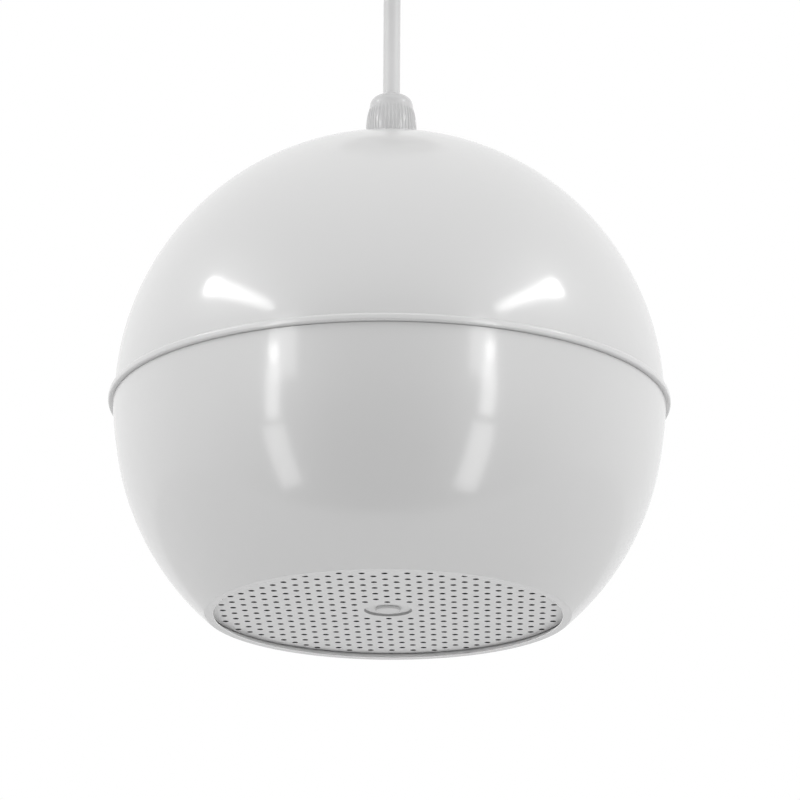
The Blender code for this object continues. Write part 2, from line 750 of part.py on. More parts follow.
def spider(ball):
    """Corrugated cloth disc that centres the coil."""
    outer = SPIDER_SHELF_RADIUS - BASKET_SHEET / 2
    inner = FORMER_RADIUS + FIT
    steps = 6
    line = []
    for i in range(steps + 1):
        share = i / steps
        wave = SPIDER_WAVE * (-1) ** i if 0 < i < steps else 0
        line.append((outer + (inner - outer) * share, SPIDER_RIM_HEIGHT - SPIDER_CUP * share + wave))
    return dress(turned_sheet("spider", line, SPIDER_SHEET, DRIVER_SIDES, ball), CLOTH)


def voice_coil(mover):
    """Coil former with its winding centred in the top plate's gap."""
    middle = PLATE_FRONT + PLATE_THICKNESS / 2
    winding_foot = middle - WINDING_LENGTH / 2
    winding_top = middle + WINDING_LENGTH / 2
    foot = CONE_NECK_HEIGHT - CONE_SHEET
    top = winding_top + COIL_TAIL
    profile = [
        (COIL_BORE_RADIUS, top),
        (FORMER_RADIUS, top),
        (FORMER_RADIUS, winding_top),
        (WINDING_RADIUS, winding_top),
        (WINDING_RADIUS, winding_foot),
        (FORMER_RADIUS, winding_foot),
        (FORMER_RADIUS, foot),
        (COIL_BORE_RADIUS, foot),
    ]
    return dress(turned("voice_coil", profile, DRIVER_SIDES, mover), COPPER)


def dust_cap(mover):
    slope = (cone_height(CAP_RADIUS) - cone_height(CAP_RADIUS + CONE_SHEET)) / CONE_SHEET
    seat = ((CONE_SHEET + CAP_SHEET) / 2 + FIT) * math.hypot(1, slope)
    rim = cone_height(CAP_RADIUS) - seat
    steps = 3
    line = []
    for i in range(steps + 1):
        share = 1 - i / steps
        line.append((CAP_RADIUS * share, rim - CAP_BULGE * (1 - share**2)))
    return dress(turned_sheet("dust_cap", line, CAP_SHEET, DRIVER_SIDES, mover), BLACK_PAPER)


def motor(ball):
    """Top plate, ring magnet, and the back plate with its vented pole."""
    plate_top = PLATE_FRONT + PLATE_THICKNESS
    ring("top_plate", PLATE_BORE_RADIUS, PLATE_RADIUS, PLATE_FRONT, plate_top, DRIVER_SIDES, ball, STEEL)
    magnet_top = MAGNET_FRONT + MAGNET_HEIGHT
    ring(
        "magnet",
        MAGNET_BORE_RADIUS,
        MAGNET_RADIUS,
        MAGNET_FRONT,
        magnet_top,
        DRIVER_SIDES,
        ball,
        FERRITE,
    )
    back = BACK_PLATE_FRONT + BACK_PLATE_THICKNESS
    profile = [
        (VENT_RADIUS, back),
        (BACK_PLATE_RADIUS, back),
        (BACK_PLATE_RADIUS, BACK_PLATE_FRONT),
        (POLE_RADIUS, BACK_PLATE_FRONT),
        (POLE_RADIUS, PLATE_FRONT),
        (VENT_RADIUS, PLATE_FRONT),
    ]
    dress(turned("back_plate", profile, DRIVER_SIDES, ball), STEEL)


def screw(name, at, head_foot, grip_end, parent):
    """A pan-head screw whose shank points away from its head, up or down."""
    way = 1 if head_foot > grip_end else -1
    top = head_foot + way * SCREW_HEAD_HEIGHT
    profile = [
        (0, top),
        (SCREW_HEAD_RADIUS * 0.8, top),
        (SCREW_HEAD_RADIUS, head_foot),
        (SCREW_RADIUS, head_foot),
        (SCREW_RADIUS, grip_end),
        (0, grip_end),
    ]
    if way < 0:
        profile.reverse()
    thing = turned(name, profile, SCREW_SIDES, parent, closed=False, location=(*at, 0))
    return dress(thing, STEEL)


def driver_screws(ball):
    head_foot = FLANGE_HEIGHT + BASKET_SHEET / 2 + FIT
    for number, at in enumerate(boss_places(), 1):
        screw(f"driver_screw_{number}", at, head_foot, BOSS_TOP - SCREW_GRIP, ball)


def strip_radius():
    return FLANGE_RADIUS - STRIP_FOOT


def strip_top():
    return FLANGE_HEIGHT + BASKET_SHEET / 2 + FIT + STRIP_HEIGHT


def terminal_strip(ball):
    """Upright insulating board on a foot, on the basket's flange."""
    foot = strip_top() - STRIP_HEIGHT
    outer = STRIP_FOOT - 2 * FIT
    corner = [
        (0, 0),
        (outer, 0),
        (outer, STRIP_THICKNESS),
        (STRIP_THICKNESS, STRIP_THICKNESS),
        (STRIP_THICKNESS, STRIP_HEIGHT),
        (0, STRIP_HEIGHT),
    ]
    strip = pressed("terminal_strip", [corner], STRIP_WIDTH, ball, (-strip_radius(), 0, foot))
    strip.rotation_euler = (math.pi / 2, 0, math.pi)
    return dress(strip, PHENOLIC)


def core_top():
    return PILLAR_DROP - FIT - FRAME_SHEET


def foot_screw_offset():
    return STRAP_REACH - FRAME_FOOT / 2


def stand_up(thing):
    """Turn a flat outline so that its Y runs up and its X runs along Y."""
    thing.rotation_euler = (math.pi / 2, 0, math.pi / 2)
    return thing


def transformer(ball):
    """Laminated core, its winding, and the strap that hangs it from the pillars."""
    middle = core_top() - CORE_HEIGHT / 2
    window = (LEG_WIDTH, CORE_HEIGHT - 2 * LEG_WIDTH)
    window_offset = CORE_WIDTH / 2 - 1.5 * LEG_WIDTH
    loops = [rectangle(CORE_WIDTH, CORE_HEIGHT)]
    loops += [rectangle(*window, (side * window_offset, 0)) for side in (-1, 1)]
    at = (-TRANSFORMER_OFFSET, 0, middle)
    dress(stand_up(pressed("transformer_core", loops, CORE_DEPTH, ball, at)), LAMINATIONS)
    leg = 2 * (window_offset - LEG_WIDTH / 2)
    wrap = LEG_WIDTH - 2 * FIT
    hole = rectangle(CORE_DEPTH + 2 * FIT, leg + 2 * FIT)
    outside = rectangle(CORE_DEPTH + 2 * (wrap + FIT), leg + 2 * wrap)
    coil = pressed("transformer_winding", [outside, hole], window[1] - 2 * FIT, ball, at)
    dress(coil, YELLOW_TAPE)
    inner = CORE_WIDTH / 2 + FIT
    outer = inner + FRAME_SHEET
    top = CORE_HEIGHT / 2 + FRAME_SHEET
    foot = CORE_HEIGHT / 2
    low = -CORE_HEIGHT / 2 - FIT
    half = [
        (outer, low - FRAME_SHEET),
        (outer, foot),
        (outer + FRAME_FOOT, foot),
        (outer + FRAME_FOOT, top),
        (inner, top),
        (inner, low),
    ]
    hat = half + [(-x, y) for x, y in reversed(half)]
    strap = pressed("transformer_frame", [hat], CORE_DEPTH - 2 * FIT, ball, at)
    stand_up(strap)
    for number, side in enumerate((-1, 1), 1):
        place_at = (-TRANSFORMER_OFFSET, side * foot_screw_offset())
        hole = rod(
            f"strap_hole_{number}",
            SCREW_RADIUS + FIT,
            core_top() - FRAME_SHEET,
            PILLAR_DROP + FRAME_SHEET,
            SCREW_SIDES,
            ball,
            place_at,
            TOOLS,
        )
        cut(strap, hole)
        head_foot = core_top() - FIT
        screw(f"transformer_screw_{number}", place_at, head_foot, PILLAR_DROP + PILLAR_SCREW_GRIP, ball)
    return dress(strap, STEEL)


def terminal_block(ball):
    top = PILLAR_DROP - FIT
    middle = top - BLOCK_SIZE[2] / 2
    body = block("terminal_block", BLOCK_SIZE, ball, (BLOCK_OFFSET, 0, middle))
    hole = rod(
        "block_hole",
        SCREW_RADIUS + FIT,
        middle - BLOCK_SIZE[2],
        middle + BLOCK_SIZE[2],
        SCREW_SIDES,
        ball,
        (BLOCK_OFFSET, 0),
        TOOLS,
    )
    cut(body, hole)
    head_foot = top - BLOCK_SIZE[2] - FIT
    screw("block_screw", (BLOCK_OFFSET, 0), head_foot, PILLAR_DROP + PILLAR_SCREW_GRIP, ball)
    return dress(body, WHITE_PLASTIC)


TAIL_ROUTE = [
    (0, 0, 0.1),
    (0, 0, 0.088),
    (0.0025, 0, 0.077),
    (0.0085, 0, 0.067),
    (0.0165, 0, 0.0595),
]


def cable_tail(ball):
    """Inner end of the cable, from the gland's seal down to where its jacket is stripped."""
    route = smooth_route([(0, 0, SEAL_TOP), *TAIL_ROUTE], 2)
    dress(tube("cable_tail", CABLE_RADIUS, route, ball), CABLE_JACKET)
    block_face = BLOCK_OFFSET - BLOCK_SIZE[0] / 2 - FIT
    clamp_height = PILLAR_DROP - BLOCK_SIZE[2] / 2
    end_x, _, end_z = TAIL_ROUTE[-1]
    for name, side, look in (("supply_core_brown", -1, BROWN_WIRE), ("supply_core_blue", 1, BLUE_WIRE)):
        y = side * (CORE_WIRE_RADIUS + FIT)
        clamp_y = side * 1.5 * WIRE_SPACING
        route = [
            (end_x + 2 * FIT, y, end_z - 2 * FIT),
            (end_x + 0.8 * WIRE_BOW, y, end_z - 0.6 * WIRE_BOW),
            (block_face - 1.8 * WIRE_BOW, side * WIRE_SPACING, end_z + 0.2 * WIRE_BOW),
            (block_face - 0.6 * WIRE_BOW, clamp_y, clamp_height),
            (block_face - FIT, clamp_y, clamp_height),
        ]
        dress(tube(name, CORE_WIRE_RADIUS, smooth_route(route, 2), ball), look)


def speaker_leads(ball):
    """Two leads from the transformer's winding down to the driver's terminal strip."""
    side_face = -TRANSFORMER_OFFSET - CORE_DEPTH / 2 - LEG_WIDTH - FIT
    strip_face = -strip_radius() - STRIP_THICKNESS / 2
    bow_face = strip_face - WIRE_BOW
    height = core_top() - CORE_HEIGHT / 2
    for name, side, look in (("speaker_lead_red", -1, RED_WIRE), ("speaker_lead_black", 1, BLACK_WIRE)):
        y = side * WIRE_SPACING
        route = [
            (side_face, y, height),
            (side_face - WIRE_BOW, y, height - WIRE_BOW / 4),
            ((side_face + 2 * bow_face) / 3, y, height / 3),
            (bow_face, y, 0),
            (bow_face, y, strip_top() / 2),
            (strip_face, y, strip_top() + WIRE_BOW),
            (strip_face, y, strip_top() + FIT),
        ]
        dress(tube(name, CORE_WIRE_RADIUS, smooth_route(route, 2), ball), look)


def gland_body(ball):
    """Threaded spigot, hexagon and collar in one moulding, bored for the cable and its seal."""
    spigot_foot = HEX_FOOT - SPIGOT_LENGTH
    hex_top = HEX_FOOT + GLAND_HEX_HEIGHT
    spigot_radius = GLAND_HOLE_RADIUS - FIT
    profile = [
        (0, COLLAR_TOP),
        (COLLAR_RADIUS, COLLAR_TOP),
        (COLLAR_RADIUS, hex_top - GLAND_HEX_HEIGHT / 2),
        (spigot_radius, hex_top - GLAND_HEX_HEIGHT / 2),
        (spigot_radius, spigot_foot),
        (0, spigot_foot),
    ]
    body = turned("gland_body", profile, SMALL_SIDES, ball, closed=False)
    join(body, rod("gland_hexagon", GLAND_HEX_RADIUS, HEX_FOOT, hex_top, 6, ball, group=TOOLS))
    bore = [
        (0, COLLAR_TOP + FIT),
        (COLLAR_BORE_RADIUS, COLLAR_TOP + FIT),
        (COLLAR_BORE_RADIUS, SEAL_FOOT - FIT),
        (SPIGOT_BORE_RADIUS, SEAL_FOOT - FIT),
        (SPIGOT_BORE_RADIUS, spigot_foot - FIT),
        (0, spigot_foot - FIT),
    ]
    cut(body, turned("gland_bore", bore, SMALL_SIDES, ball, closed=False, group=TOOLS))
    return dress(body, GREY_NYLON)


def gland_seal(ball):
    """Rubber sleeve that the nut squeezes onto the cable."""
    outside = (COLLAR_BORE_RADIUS - FIT) * math.cos(math.pi / SMALL_SIDES)
    profile = ring_profile(bore_for_cable(), outside, SEAL_FOOT, SEAL_TOP)
    return dress(turned("gland_seal", profile, SMALL_SIDES, ball), BLACK_RUBBER)


def bore_for_cable():
    """Corner radius of a many-sided bore that the cable passes with clearance."""
    return CABLE_BORE_RADIUS / math.cos(math.pi / SMALL_SIDES)


def nut_outline(steps):
    """Outside of the gland nut: a barrel that tapers, then a domed top."""
    mouth = bore_for_cable() + FIT
    line = []
    for i in range(steps + 1):
        share = i / steps
        radius = NUT_NECK_RADIUS + (NUT_FOOT_RADIUS - NUT_NECK_RADIUS) * (1 - share**NUT_SIDE_POWER)
        line.append((radius, NUT_FOOT + NUT_RIB_HEIGHT * share))
    for i in range(1, steps + 1):
        angle = math.pi / 2 * i / steps
        radius = NUT_NECK_RADIUS * math.cos(angle) ** NUT_DOME_POWER
        height = NUT_FOOT + NUT_RIB_HEIGHT + NUT_DOME_HEIGHT * math.sin(angle) ** NUT_DOME_POWER
        line.append((max(radius, mouth), height))
    return line


def gland_nut(ball):
    """Dome nut: a ribbed bar trimmed to the nut's outline, with a bore that narrows to the cable."""
    points = []
    for i in range(2 * NUT_RIBS):
        radius = NUT_FOOT_RADIUS - (NUT_RIB_DEPTH if i % 2 else 0)
        angle = math.pi * (i + 0.5) / NUT_RIBS
        points.append((radius * math.cos(angle), radius * math.sin(angle)))
    height = NUT_TOP - NUT_FOOT + 2 * FIT
    nut = pressed("gland_nut", [points], height, ball, (0, 0, (NUT_FOOT + NUT_TOP) / 2))
    outline = [(0, NUT_FOOT), *nut_outline(3), (0, NUT_TOP)]
    outline.reverse()
    envelope = turned("nut_outline", outline, 2 * SMALL_SIDES, ball, closed=False, group=TOOLS)
    shape_with(nut, envelope, "INTERSECT")
    thread_radius = COLLAR_RADIUS / math.cos(math.pi / SMALL_SIDES) + FIT
    bore = [
        (0, NUT_TOP + FIT),
        (bore_for_cable(), NUT_TOP + FIT),
        (bore_for_cable(), NUT_TOP - NUT_WALL),
        (thread_radius, max(SEAL_TOP, COLLAR_TOP) + FIT),
        (thread_radius, NUT_FOOT - FIT),
        (0, NUT_FOOT - FIT),
    ]
    cut(nut, turned("nut_bore", bore, SMALL_SIDES, ball, closed=False, group=TOOLS))
    return dress(nut, GREY_NYLON)


def hex_nut(name, radius, bore, foot, top, parent, look):
    thing = pressed(
        name,
        [circle(radius, 6), circle(bore, SMALL_SIDES)],
        top - foot,
        parent,
        (0, 0, (foot + top) / 2),
    )
    return dress(thing, look)


def gland(ball):
    washer_foot = SEAT_TOP + FIT
    bore = GLAND_HOLE_RADIUS / math.cos(math.pi / SMALL_SIDES)
    ring(
        "gland_washer",
        bore,
        WASHER_RADIUS,
        washer_foot,
        washer_foot + WASHER_THICKNESS,
        SMALL_SIDES,
        ball,
        BLACK_RUBBER,
    )
    gland_body(ball)
    gland_seal(ball)
    gland_nut(ball)
    nut_top = SEAT_UNDER - FIT
    hex_nut(
        "gland_lock_nut", LOCK_NUT_RADIUS, bore, nut_top - LOCK_NUT_HEIGHT, nut_top, ball, GREY_NYLON
    )


def connector_foot():
    return -BRACKET_SHEET - FIT - CONNECTOR_SIZE[2]


def cable(origin):
    """Free cable, from the seal in the gland nut up to the connector in the ceiling cup."""
    foot = MIDDLE_HEIGHT + SEAL_TOP + FIT
    top = connector_foot() - FIT
    count = 6
    route = [(0, 0, foot + (top - foot) * i / (count - 1)) for i in range(count)]
    return dress(tube("cable", CABLE_RADIUS, route, origin), CABLE_JACKET)


def bracket_reach():
    return CUP_RADIUS - CUP_SHEET - BRACKET_INSET


def ceiling_bracket(origin):
    """Strap bent down at both ends, with two slots for ceiling screws."""
    reach = bracket_reach()
    half = [
        (reach, 0),
        (reach, -BRACKET_LEG),
        (reach - BRACKET_SHEET, -BRACKET_LEG),
        (reach - BRACKET_SHEET, -BRACKET_SHEET),
    ]
    outline = half + [(-x, z) for x, z in reversed(half)]
    strap = pressed("ceiling_bracket", [outline], BRACKET_WIDTH, origin)
    strap.rotation_euler.x = math.pi / 2
    for number, side in enumerate((-1, 1), 1):
        hole = rod(
            f"ceiling_hole_{number}",
            CEILING_SCREW_RADIUS,
            -2 * BRACKET_SHEET,
            BRACKET_SHEET,
            SMALL_SIDES,
            origin,
            (side * CEILING_SCREW_OFFSET, 0),
            TOOLS,
        )
        cut(strap, hole)
        turn = 0 if side > 0 else math.pi
        leg_hole = lying_rod(
            f"leg_hole_{number}",
            CUP_SCREW_RADIUS + FIT,
            reach - 2 * BRACKET_SHEET,
            reach + BRACKET_SHEET,
            turn,
            cup_screw_height(),
            origin,
            TOOLS,
        )
        cut(strap, leg_hole)
    return dress(strap, STEEL)


def cup_screw_height():
    return -BRACKET_LEG + 2 * CUP_SCREW_HEAD


def ceiling_cup(origin):
    """Turned cup with a rounded corner and a hole for the cord grip."""
    middle = CUP_RADIUS - CUP_SHEET / 2
    floor = -CUP_HEIGHT + CUP_SHEET / 2
    hole = GRIP_STEM_RADIUS + FIT
    line = [(middle, -FIT)]
    for i in range(4):
        angle = math.pi / 2 * i / 3
        line.append(
            (
                middle - CUP_CORNER * (1 - math.cos(angle)),
                floor + CUP_CORNER * (1 - math.sin(angle)),
            )
        )
    line.append((hole, floor))
    cup = turned_sheet("ceiling_cup", line, CUP_SHEET, DRIVER_SIDES, origin)
    for number, turn in enumerate((math.pi, 0), 1):
        side_hole = lying_rod(
            f"cup_hole_{number}",
            CUP_SCREW_RADIUS + FIT,
            CUP_RADIUS - 3 * CUP_SHEET,
            CUP_RADIUS + CUP_SHEET,
            turn,
            cup_screw_height(),
            origin,
            TOOLS,
        )
        cut(cup, side_hole)
    return dress(cup, SHELL)


def cup_screws(origin):
    """Side screws that hold the cup to the bracket's legs."""
    for number, turn in enumerate((math.pi, 0), 1):
        near = bracket_reach() - BRACKET_SHEET - CUP_SCREW_HEAD
        name = f"cup_screw_{number}"
        height = cup_screw_height()
        shank = lying_rod(name, CUP_SCREW_RADIUS, near, CUP_RADIUS + 2 * FIT, turn, height, origin)
        head_near = CUP_RADIUS + FIT
        head_far = head_near + CUP_SCREW_HEAD / 2
        head_name = f"cup_screw_head_{number}"
        head = lying_rod(head_name, CUP_SCREW_HEAD, head_near, head_far, turn, height, origin, TOOLS)
        join(shank, head)
        dress(shank, STEEL)


def cord_grip(origin):
    """Collar under the cup with a stem through it, bored for the cable."""
    foot = -CUP_HEIGHT - GRIP_LENGTH
    top = -CUP_HEIGHT - FIT
    stem_top = -CUP_HEIGHT + CUP_SHEET + GRIP_STEM_LENGTH
    taper = GRIP_RADIUS * 0.8
    profile = [
        (bore_for_cable(), stem_top),
        (GRIP_STEM_RADIUS, stem_top),
        (GRIP_STEM_RADIUS, top),
        (GRIP_RADIUS, top),
        (GRIP_RADIUS, foot + GRIP_LENGTH / 3),
        (taper, foot),
        (bore_for_cable(), foot),
    ]
    grip = turned("cord_grip", profile, SMALL_SIDES, origin)
    height = (top + foot + GRIP_LENGTH / 3) / 2
    near = CABLE_RADIUS + FIT
    far = GRIP_RADIUS + GRIP_SCREW_RADIUS
    hole = lying_rod(
        "grip_hole", GRIP_SCREW_RADIUS + FIT, 0, 2 * GRIP_RADIUS, -math.pi / 2, height, origin, TOOLS
    )
    cut(grip, hole)
    dress(grip, GREY_NYLON)
    clamp = lying_rod("grip_screw", GRIP_SCREW_RADIUS, near, far, -math.pi / 2, height, origin)
    dress(clamp, STEEL)
    nut_foot = -CUP_HEIGHT + CUP_SHEET + FIT
    bore = (GRIP_STEM_RADIUS + FIT) / math.cos(math.pi / SMALL_SIDES)
    hex_nut("grip_nut", GRIP_NUT_RADIUS, bore, nut_foot, nut_foot + GRIP_NUT_HEIGHT, origin, GREY_NYLON)


def ceiling_connector(origin):
    """Connector under the bracket, where the cable ends."""
    middle = connector_foot() + CONNECTOR_SIZE[2] / 2
    return dress(block("ceiling_connector", CONNECTOR_SIZE, origin, (0, 0, middle)), WHITE_PLASTIC)


def build():
    clear_scene()
    origin = empty_at("ceiling_face", 0)
    ball = empty_at("ball_middle", MIDDLE_HEIGHT, origin)
    mover = empty_at("cone_axis", 0, ball)
    upper_dome(ball)
    lower_bowl(ball)
    grille(ball)
    badge_button(ball)
    grille_gasket(ball)
    basket(ball)
    surround(ball)
    spider(ball)
    cone(mover)
    voice_coil(mover)
    dust_cap(mover)
    motor(ball)
    driver_screws(ball)
    terminal_strip(ball)
    transformer(ball)
    terminal_block(ball)
    cable_tail(ball)
    speaker_leads(ball)
    gland(ball)
    cable(origin)
    ceiling_bracket(origin)
    ceiling_cup(origin)
    cup_screws(origin)
    cord_grip(origin)
    ceiling_connector(origin)


build()
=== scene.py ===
"""Looks of the pendant ball loudspeaker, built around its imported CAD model.

Metres, +Z up, in the frame of the CAD: the origin is the middle of the ceiling bracket's top face.
The ball's heights are counted from its middle plane, where the two halves meet.
"""

import json
import math

import bmesh
import bpy
from mathutils import Matrix, Vector


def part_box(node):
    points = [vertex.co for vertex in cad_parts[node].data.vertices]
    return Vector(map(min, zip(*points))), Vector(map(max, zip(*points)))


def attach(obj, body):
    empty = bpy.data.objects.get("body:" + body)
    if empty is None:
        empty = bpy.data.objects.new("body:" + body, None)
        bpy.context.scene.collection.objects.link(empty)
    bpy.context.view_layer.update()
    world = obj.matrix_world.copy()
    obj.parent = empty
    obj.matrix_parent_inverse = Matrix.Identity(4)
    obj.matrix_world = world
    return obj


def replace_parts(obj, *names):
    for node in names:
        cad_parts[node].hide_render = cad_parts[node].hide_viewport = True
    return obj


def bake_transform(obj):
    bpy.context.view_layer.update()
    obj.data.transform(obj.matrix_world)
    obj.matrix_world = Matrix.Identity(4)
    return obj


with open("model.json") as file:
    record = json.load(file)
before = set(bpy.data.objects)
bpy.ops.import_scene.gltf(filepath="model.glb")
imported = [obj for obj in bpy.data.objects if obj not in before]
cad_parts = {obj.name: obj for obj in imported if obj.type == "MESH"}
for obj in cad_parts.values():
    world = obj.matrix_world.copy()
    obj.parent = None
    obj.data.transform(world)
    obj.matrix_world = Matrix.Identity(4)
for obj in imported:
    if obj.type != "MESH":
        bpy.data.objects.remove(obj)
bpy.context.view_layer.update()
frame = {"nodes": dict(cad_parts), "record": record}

# Sizes that the CAD also uses.
FIT = 0.0003
WALL = 0.0022
DOME_RADIUS = 0.1027
BOWL_RADIUS = 0.1024
HALF_BAND = 0.0025
BEAD_HEIGHT = 0.0028
TONGUE_WALL = 0.0016
TONGUE_HEIGHT = 0.005
HOLE_STEP = 0.00406
HOLE_RADIUS = 0.001
PATTERN_MARGIN = 0.0024
DISH_RADIUS = 0.0088
DISH_DEPTH = 0.0009
DISH_TAPER = 0.0003
DISH_CLEAR = 0.001
BASKET_SHEET = 0.0012
FLANGE_WIDTH = 0.0119
SHELF_WIDTH = 0.0057
SPIDER_SHELF_RADIUS = 0.038
NOSE_RADIUS = 0.0313
NOSE_HOLE = 0.0175
CONE_DEPTH = 0.0195
CONE_SHEET = 0.0007
COIL_OUTSIDE = 0.0126
POLE_RADIUS = 0.0116
GASKET_WIDTH = 0.004
CUP_RADIUS = 0.036
CUP_SHEET = 0.0012
GRIP_STEM = 0.005
PILLAR_RADIUS = 0.004
BOSS_RADIUS = 0.0035
SCREW_RADIUS = 0.0015
SCREW_HEAD = 0.003
WIRE_RADIUS = 0.0011
CABLE_RADIUS = 0.00325
SPIGOT_HOLE = 0.0078
SPIGOT_RADIUS = 0.0075
SEAT_RECESS = 0.0125

# Sizes of the finer shapes here.
SHOULDER = 0.00021  # the bowl's shoulder rises this far into the joint under the bead
FLARE = 0.0009  # and its skin runs out this far towards the bead,
FLARE_DEPTH = 0.02  # over this height
SNAP_HEIGHT = 0.0045
SNAP_HALF = 0.0006
SNAP_DEPTH = 0.0008
RIM_ROUND = 0.00012  # softened edge of a punched hole and of the grille's sheet
NUT_FOOT = 0.0097
NUT_NECK = 0.0083
NUT_RIBBED_HEIGHT = 0.0121
NUT_DOME_HEIGHT = 0.0054
NUT_POLISHED_FROM = 0.0115
NUT_RIBS = 42
RIB_DEPTH = 0.00026
HEXAGON_CORNER = 0.0109
THREAD_DEPTH = 0.0003  # of the screws and the grip's stem
MAGNET_BORE = 0.017
CONE_RINGS = (0.0415, 0.034, 0.0265)
SLOPE_OUTSIDE = 0.0545  # the basket's windows lie between these radii
SLOPE_INSIDE = 0.0403
CUP_CORNER = 0.0066

# Places read from the frame.
dome_low, dome_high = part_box("upper_dome")
grille_low, grille_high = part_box("grille")
MIDDLE = dome_low.z - FIT
BEAD_RADIUS = dome_high.x
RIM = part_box("lower_bowl")[0].z
GRILLE_RADIUS = grille_high.x

# Sides of the turned pieces.
BALL_SIDES = 256
DRIVER_SIDES = 128

# Camera, from where the ball's outline and its opening lie in the photograph.
VIEW_BACK = 1.4125
VIEW_DROP = 0.4402
VIEW_TURN = math.radians(1.5)
VIEW_ROLL = math.radians(0.33)
AIM_RIGHT = 0.00393
AIM_UP = 0.00373
LENS = 178.08


def turned_about_ball(point):
    """A point of the studio, in metres from the ball's middle with -Y towards the camera."""
    return Matrix.Rotation(VIEW_TURN, 3, "Z") @ Vector(point) + Vector((0, 0, MIDDLE))


def in_scene(name, data):
    thing = bpy.data.objects.new(name, data)
    bpy.context.scene.collection.objects.link(thing)
    return thing


def studio_camera():
    lens = bpy.data.cameras.new("photo_camera")
    lens.lens = LENS
    lens.sensor_width = 36
    lens.clip_start = 0.05
    camera = in_scene("photo_camera", lens)
    camera.location = turned_about_ball((0, -VIEW_BACK, -VIEW_DROP))
    ahead = turned_about_ball((0, 0, 0)) - camera.location
    right = ahead.cross(Vector((0, 0, 1))).normalized()
    up = right.cross(ahead).normalized()
    aim = ahead + right * AIM_RIGHT + up * AIM_UP
    roll = Matrix.Rotation(VIEW_ROLL, 3, "Z").to_quaternion()
    camera.rotation_mode = "QUATERNION"
    camera.rotation_quaternion = aim.to_track_quat("-Z", "Y") @ roll
    bpy.context.scene.camera = camera


studio_camera()


# Mesh helpers

def placed(name, mesh, body="housing"):
    thing = in_scene(name, mesh)
    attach(thing, body)
    return thing


def smooth(mesh, angle=32):
    """Round faces shaded smooth, with edges over the angle kept crisp."""
    mesh.shade_smooth()
    mesh.set_sharp_from_angle(angle=math.radians(angle))


def even_normals(thing):
    """Large faces keep their own direction beside small fillets."""
    weigh = thing.modifiers.new("Even normals", "WEIGHTED_NORMAL")
    weigh.keep_sharp = True
    weigh.weight = 80
    return thing


def softened(thing, width=0.0003):
    bevel = thing.modifiers.new("Soft edges", "BEVEL")
    bevel.width = width
    bevel.segments = 2
    bevel.limit_method = "ANGLE"
    bevel.angle_limit = math.radians(40)
    bevel.harden_normals = True
    return thing


def filleted(corners, steps=4):
    """A profile of (radius, height, fillet) corners as points, with an arc at each fillet."""
    line = []
    count = len(corners)
    for i, (r, z, fillet) in enumerate(corners):
        here = Vector((r, z))
        if not fillet or i in (0, count - 1):
            line.append((r, z))
            continue
        before = Vector(corners[i - 1][:2]) - here
        after = Vector(corners[i + 1][:2]) - here
        half = before.angle(after) / 2
        reach = min(fillet / math.tan(half), before.length * 0.49, after.length * 0.49)
        radius = reach * math.tan(half)
        inward = (before.normalized() + after.normalized()).normalized()
        centre = here + inward * radius / math.sin(half)
        start = here + before.normalized() * reach - centre
        end = here + after.normalized() * reach - centre
        swing = start.angle_signed(end)
        for k in range(steps + 1):
            turn = -swing * k / steps
            x = centre.x + start.x * math.cos(turn) - start.y * math.sin(turn)
            y = centre.y + start.x * math.sin(turn) + start.y * math.cos(turn)
            line.append((x, y))
    return line


def arc(radius, centre, start, end, steps):
    """Outline of a ball, from one height to another."""
    first = math.asin(max(-1, min(1, (start - centre) / radius)))
    last = math.asin(max(-1, min(1, (end - centre) / radius)))
    angles = [first + (last - first) * i / steps for i in range(steps + 1)]
    return [(radius * math.cos(a), centre + radius * math.sin(a)) for a in angles]


def turn_into(shape, line, sides, closed=True, at=(0, 0), relief=None):
    """Add a profile of (radius, height), turned about Z, to a bmesh.

    relief gives each point's radius from its first radius, its height and its angle.
    """
    rings = []
    for r, z in line:
        if r < 1e-7:
            rings.append([shape.verts.new((at[0], at[1], z))])
            continue
        ring = []
        for i in range(sides):
            angle = math.tau * i / sides
            radius = relief(r, z, angle) if relief else r
            x, y = at[0] + radius * math.cos(angle), at[1] + radius * math.sin(angle)
            ring.append(shape.verts.new((x, y, z)))
        rings.append(ring)
    pairs = list(zip(rings, rings[1:]))
    if closed:
        pairs.append((rings[-1], rings[0]))
    for one, two in pairs:
        if len(one) == 1 and len(two) == 1:
            continue
        for i in range(sides):
            j = (i + 1) % sides
            corners = [one[i % len(one)], one[j % len(one)], two[j % len(two)], two[i % len(two)]]
            shape.faces.new(list(dict.fromkeys(corners)))


def finished_mesh(name, shape, angle=32):
    bmesh.ops.recalc_face_normals(shape, faces=shape.faces)
    mesh = bpy.data.meshes.new(name)
    shape.to_mesh(mesh)
    shape.free()
    smooth(mesh, angle)
    return mesh


def turned(name, line, sides=DRIVER_SIDES, body="housing", closed=True, at=(0, 0), relief=None):
    shape = bmesh.new()
    turn_into(shape, line, sides, closed, at, relief)
    return even_normals(placed(name, finished_mesh(name, shape), body))


def sheet_line(line, thickness):
    """Both faces of a thin wall whose middle follows the line, as one closed profile."""
    points = [Vector(p) for p in line]
    ways = [(b - a).normalized() for a, b in zip(points, points[1:])]
    outer, inner = [], []
    for p, behind, ahead in zip(points, [ways[0], *ways], [*ways, ways[-1]]):
        along = (behind + ahead).normalized()
        side = Vector((-along.y, along.x)) * thickness / 2 / max(0.5, along.dot(ahead))
        outer.append(tuple(p + side))
        inner.append(tuple(p - side))
    return outer + inner[::-1]


def half_way(low, high):
    return (low.z + high.z) / 2


# The cable, which is built before anything else round it

cable_low, cable_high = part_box("cable")
CABLE_ROUTE = [(0, 0, cable_low.z + (cable_high.z - cable_low.z) * i / 15) for i in range(16)]


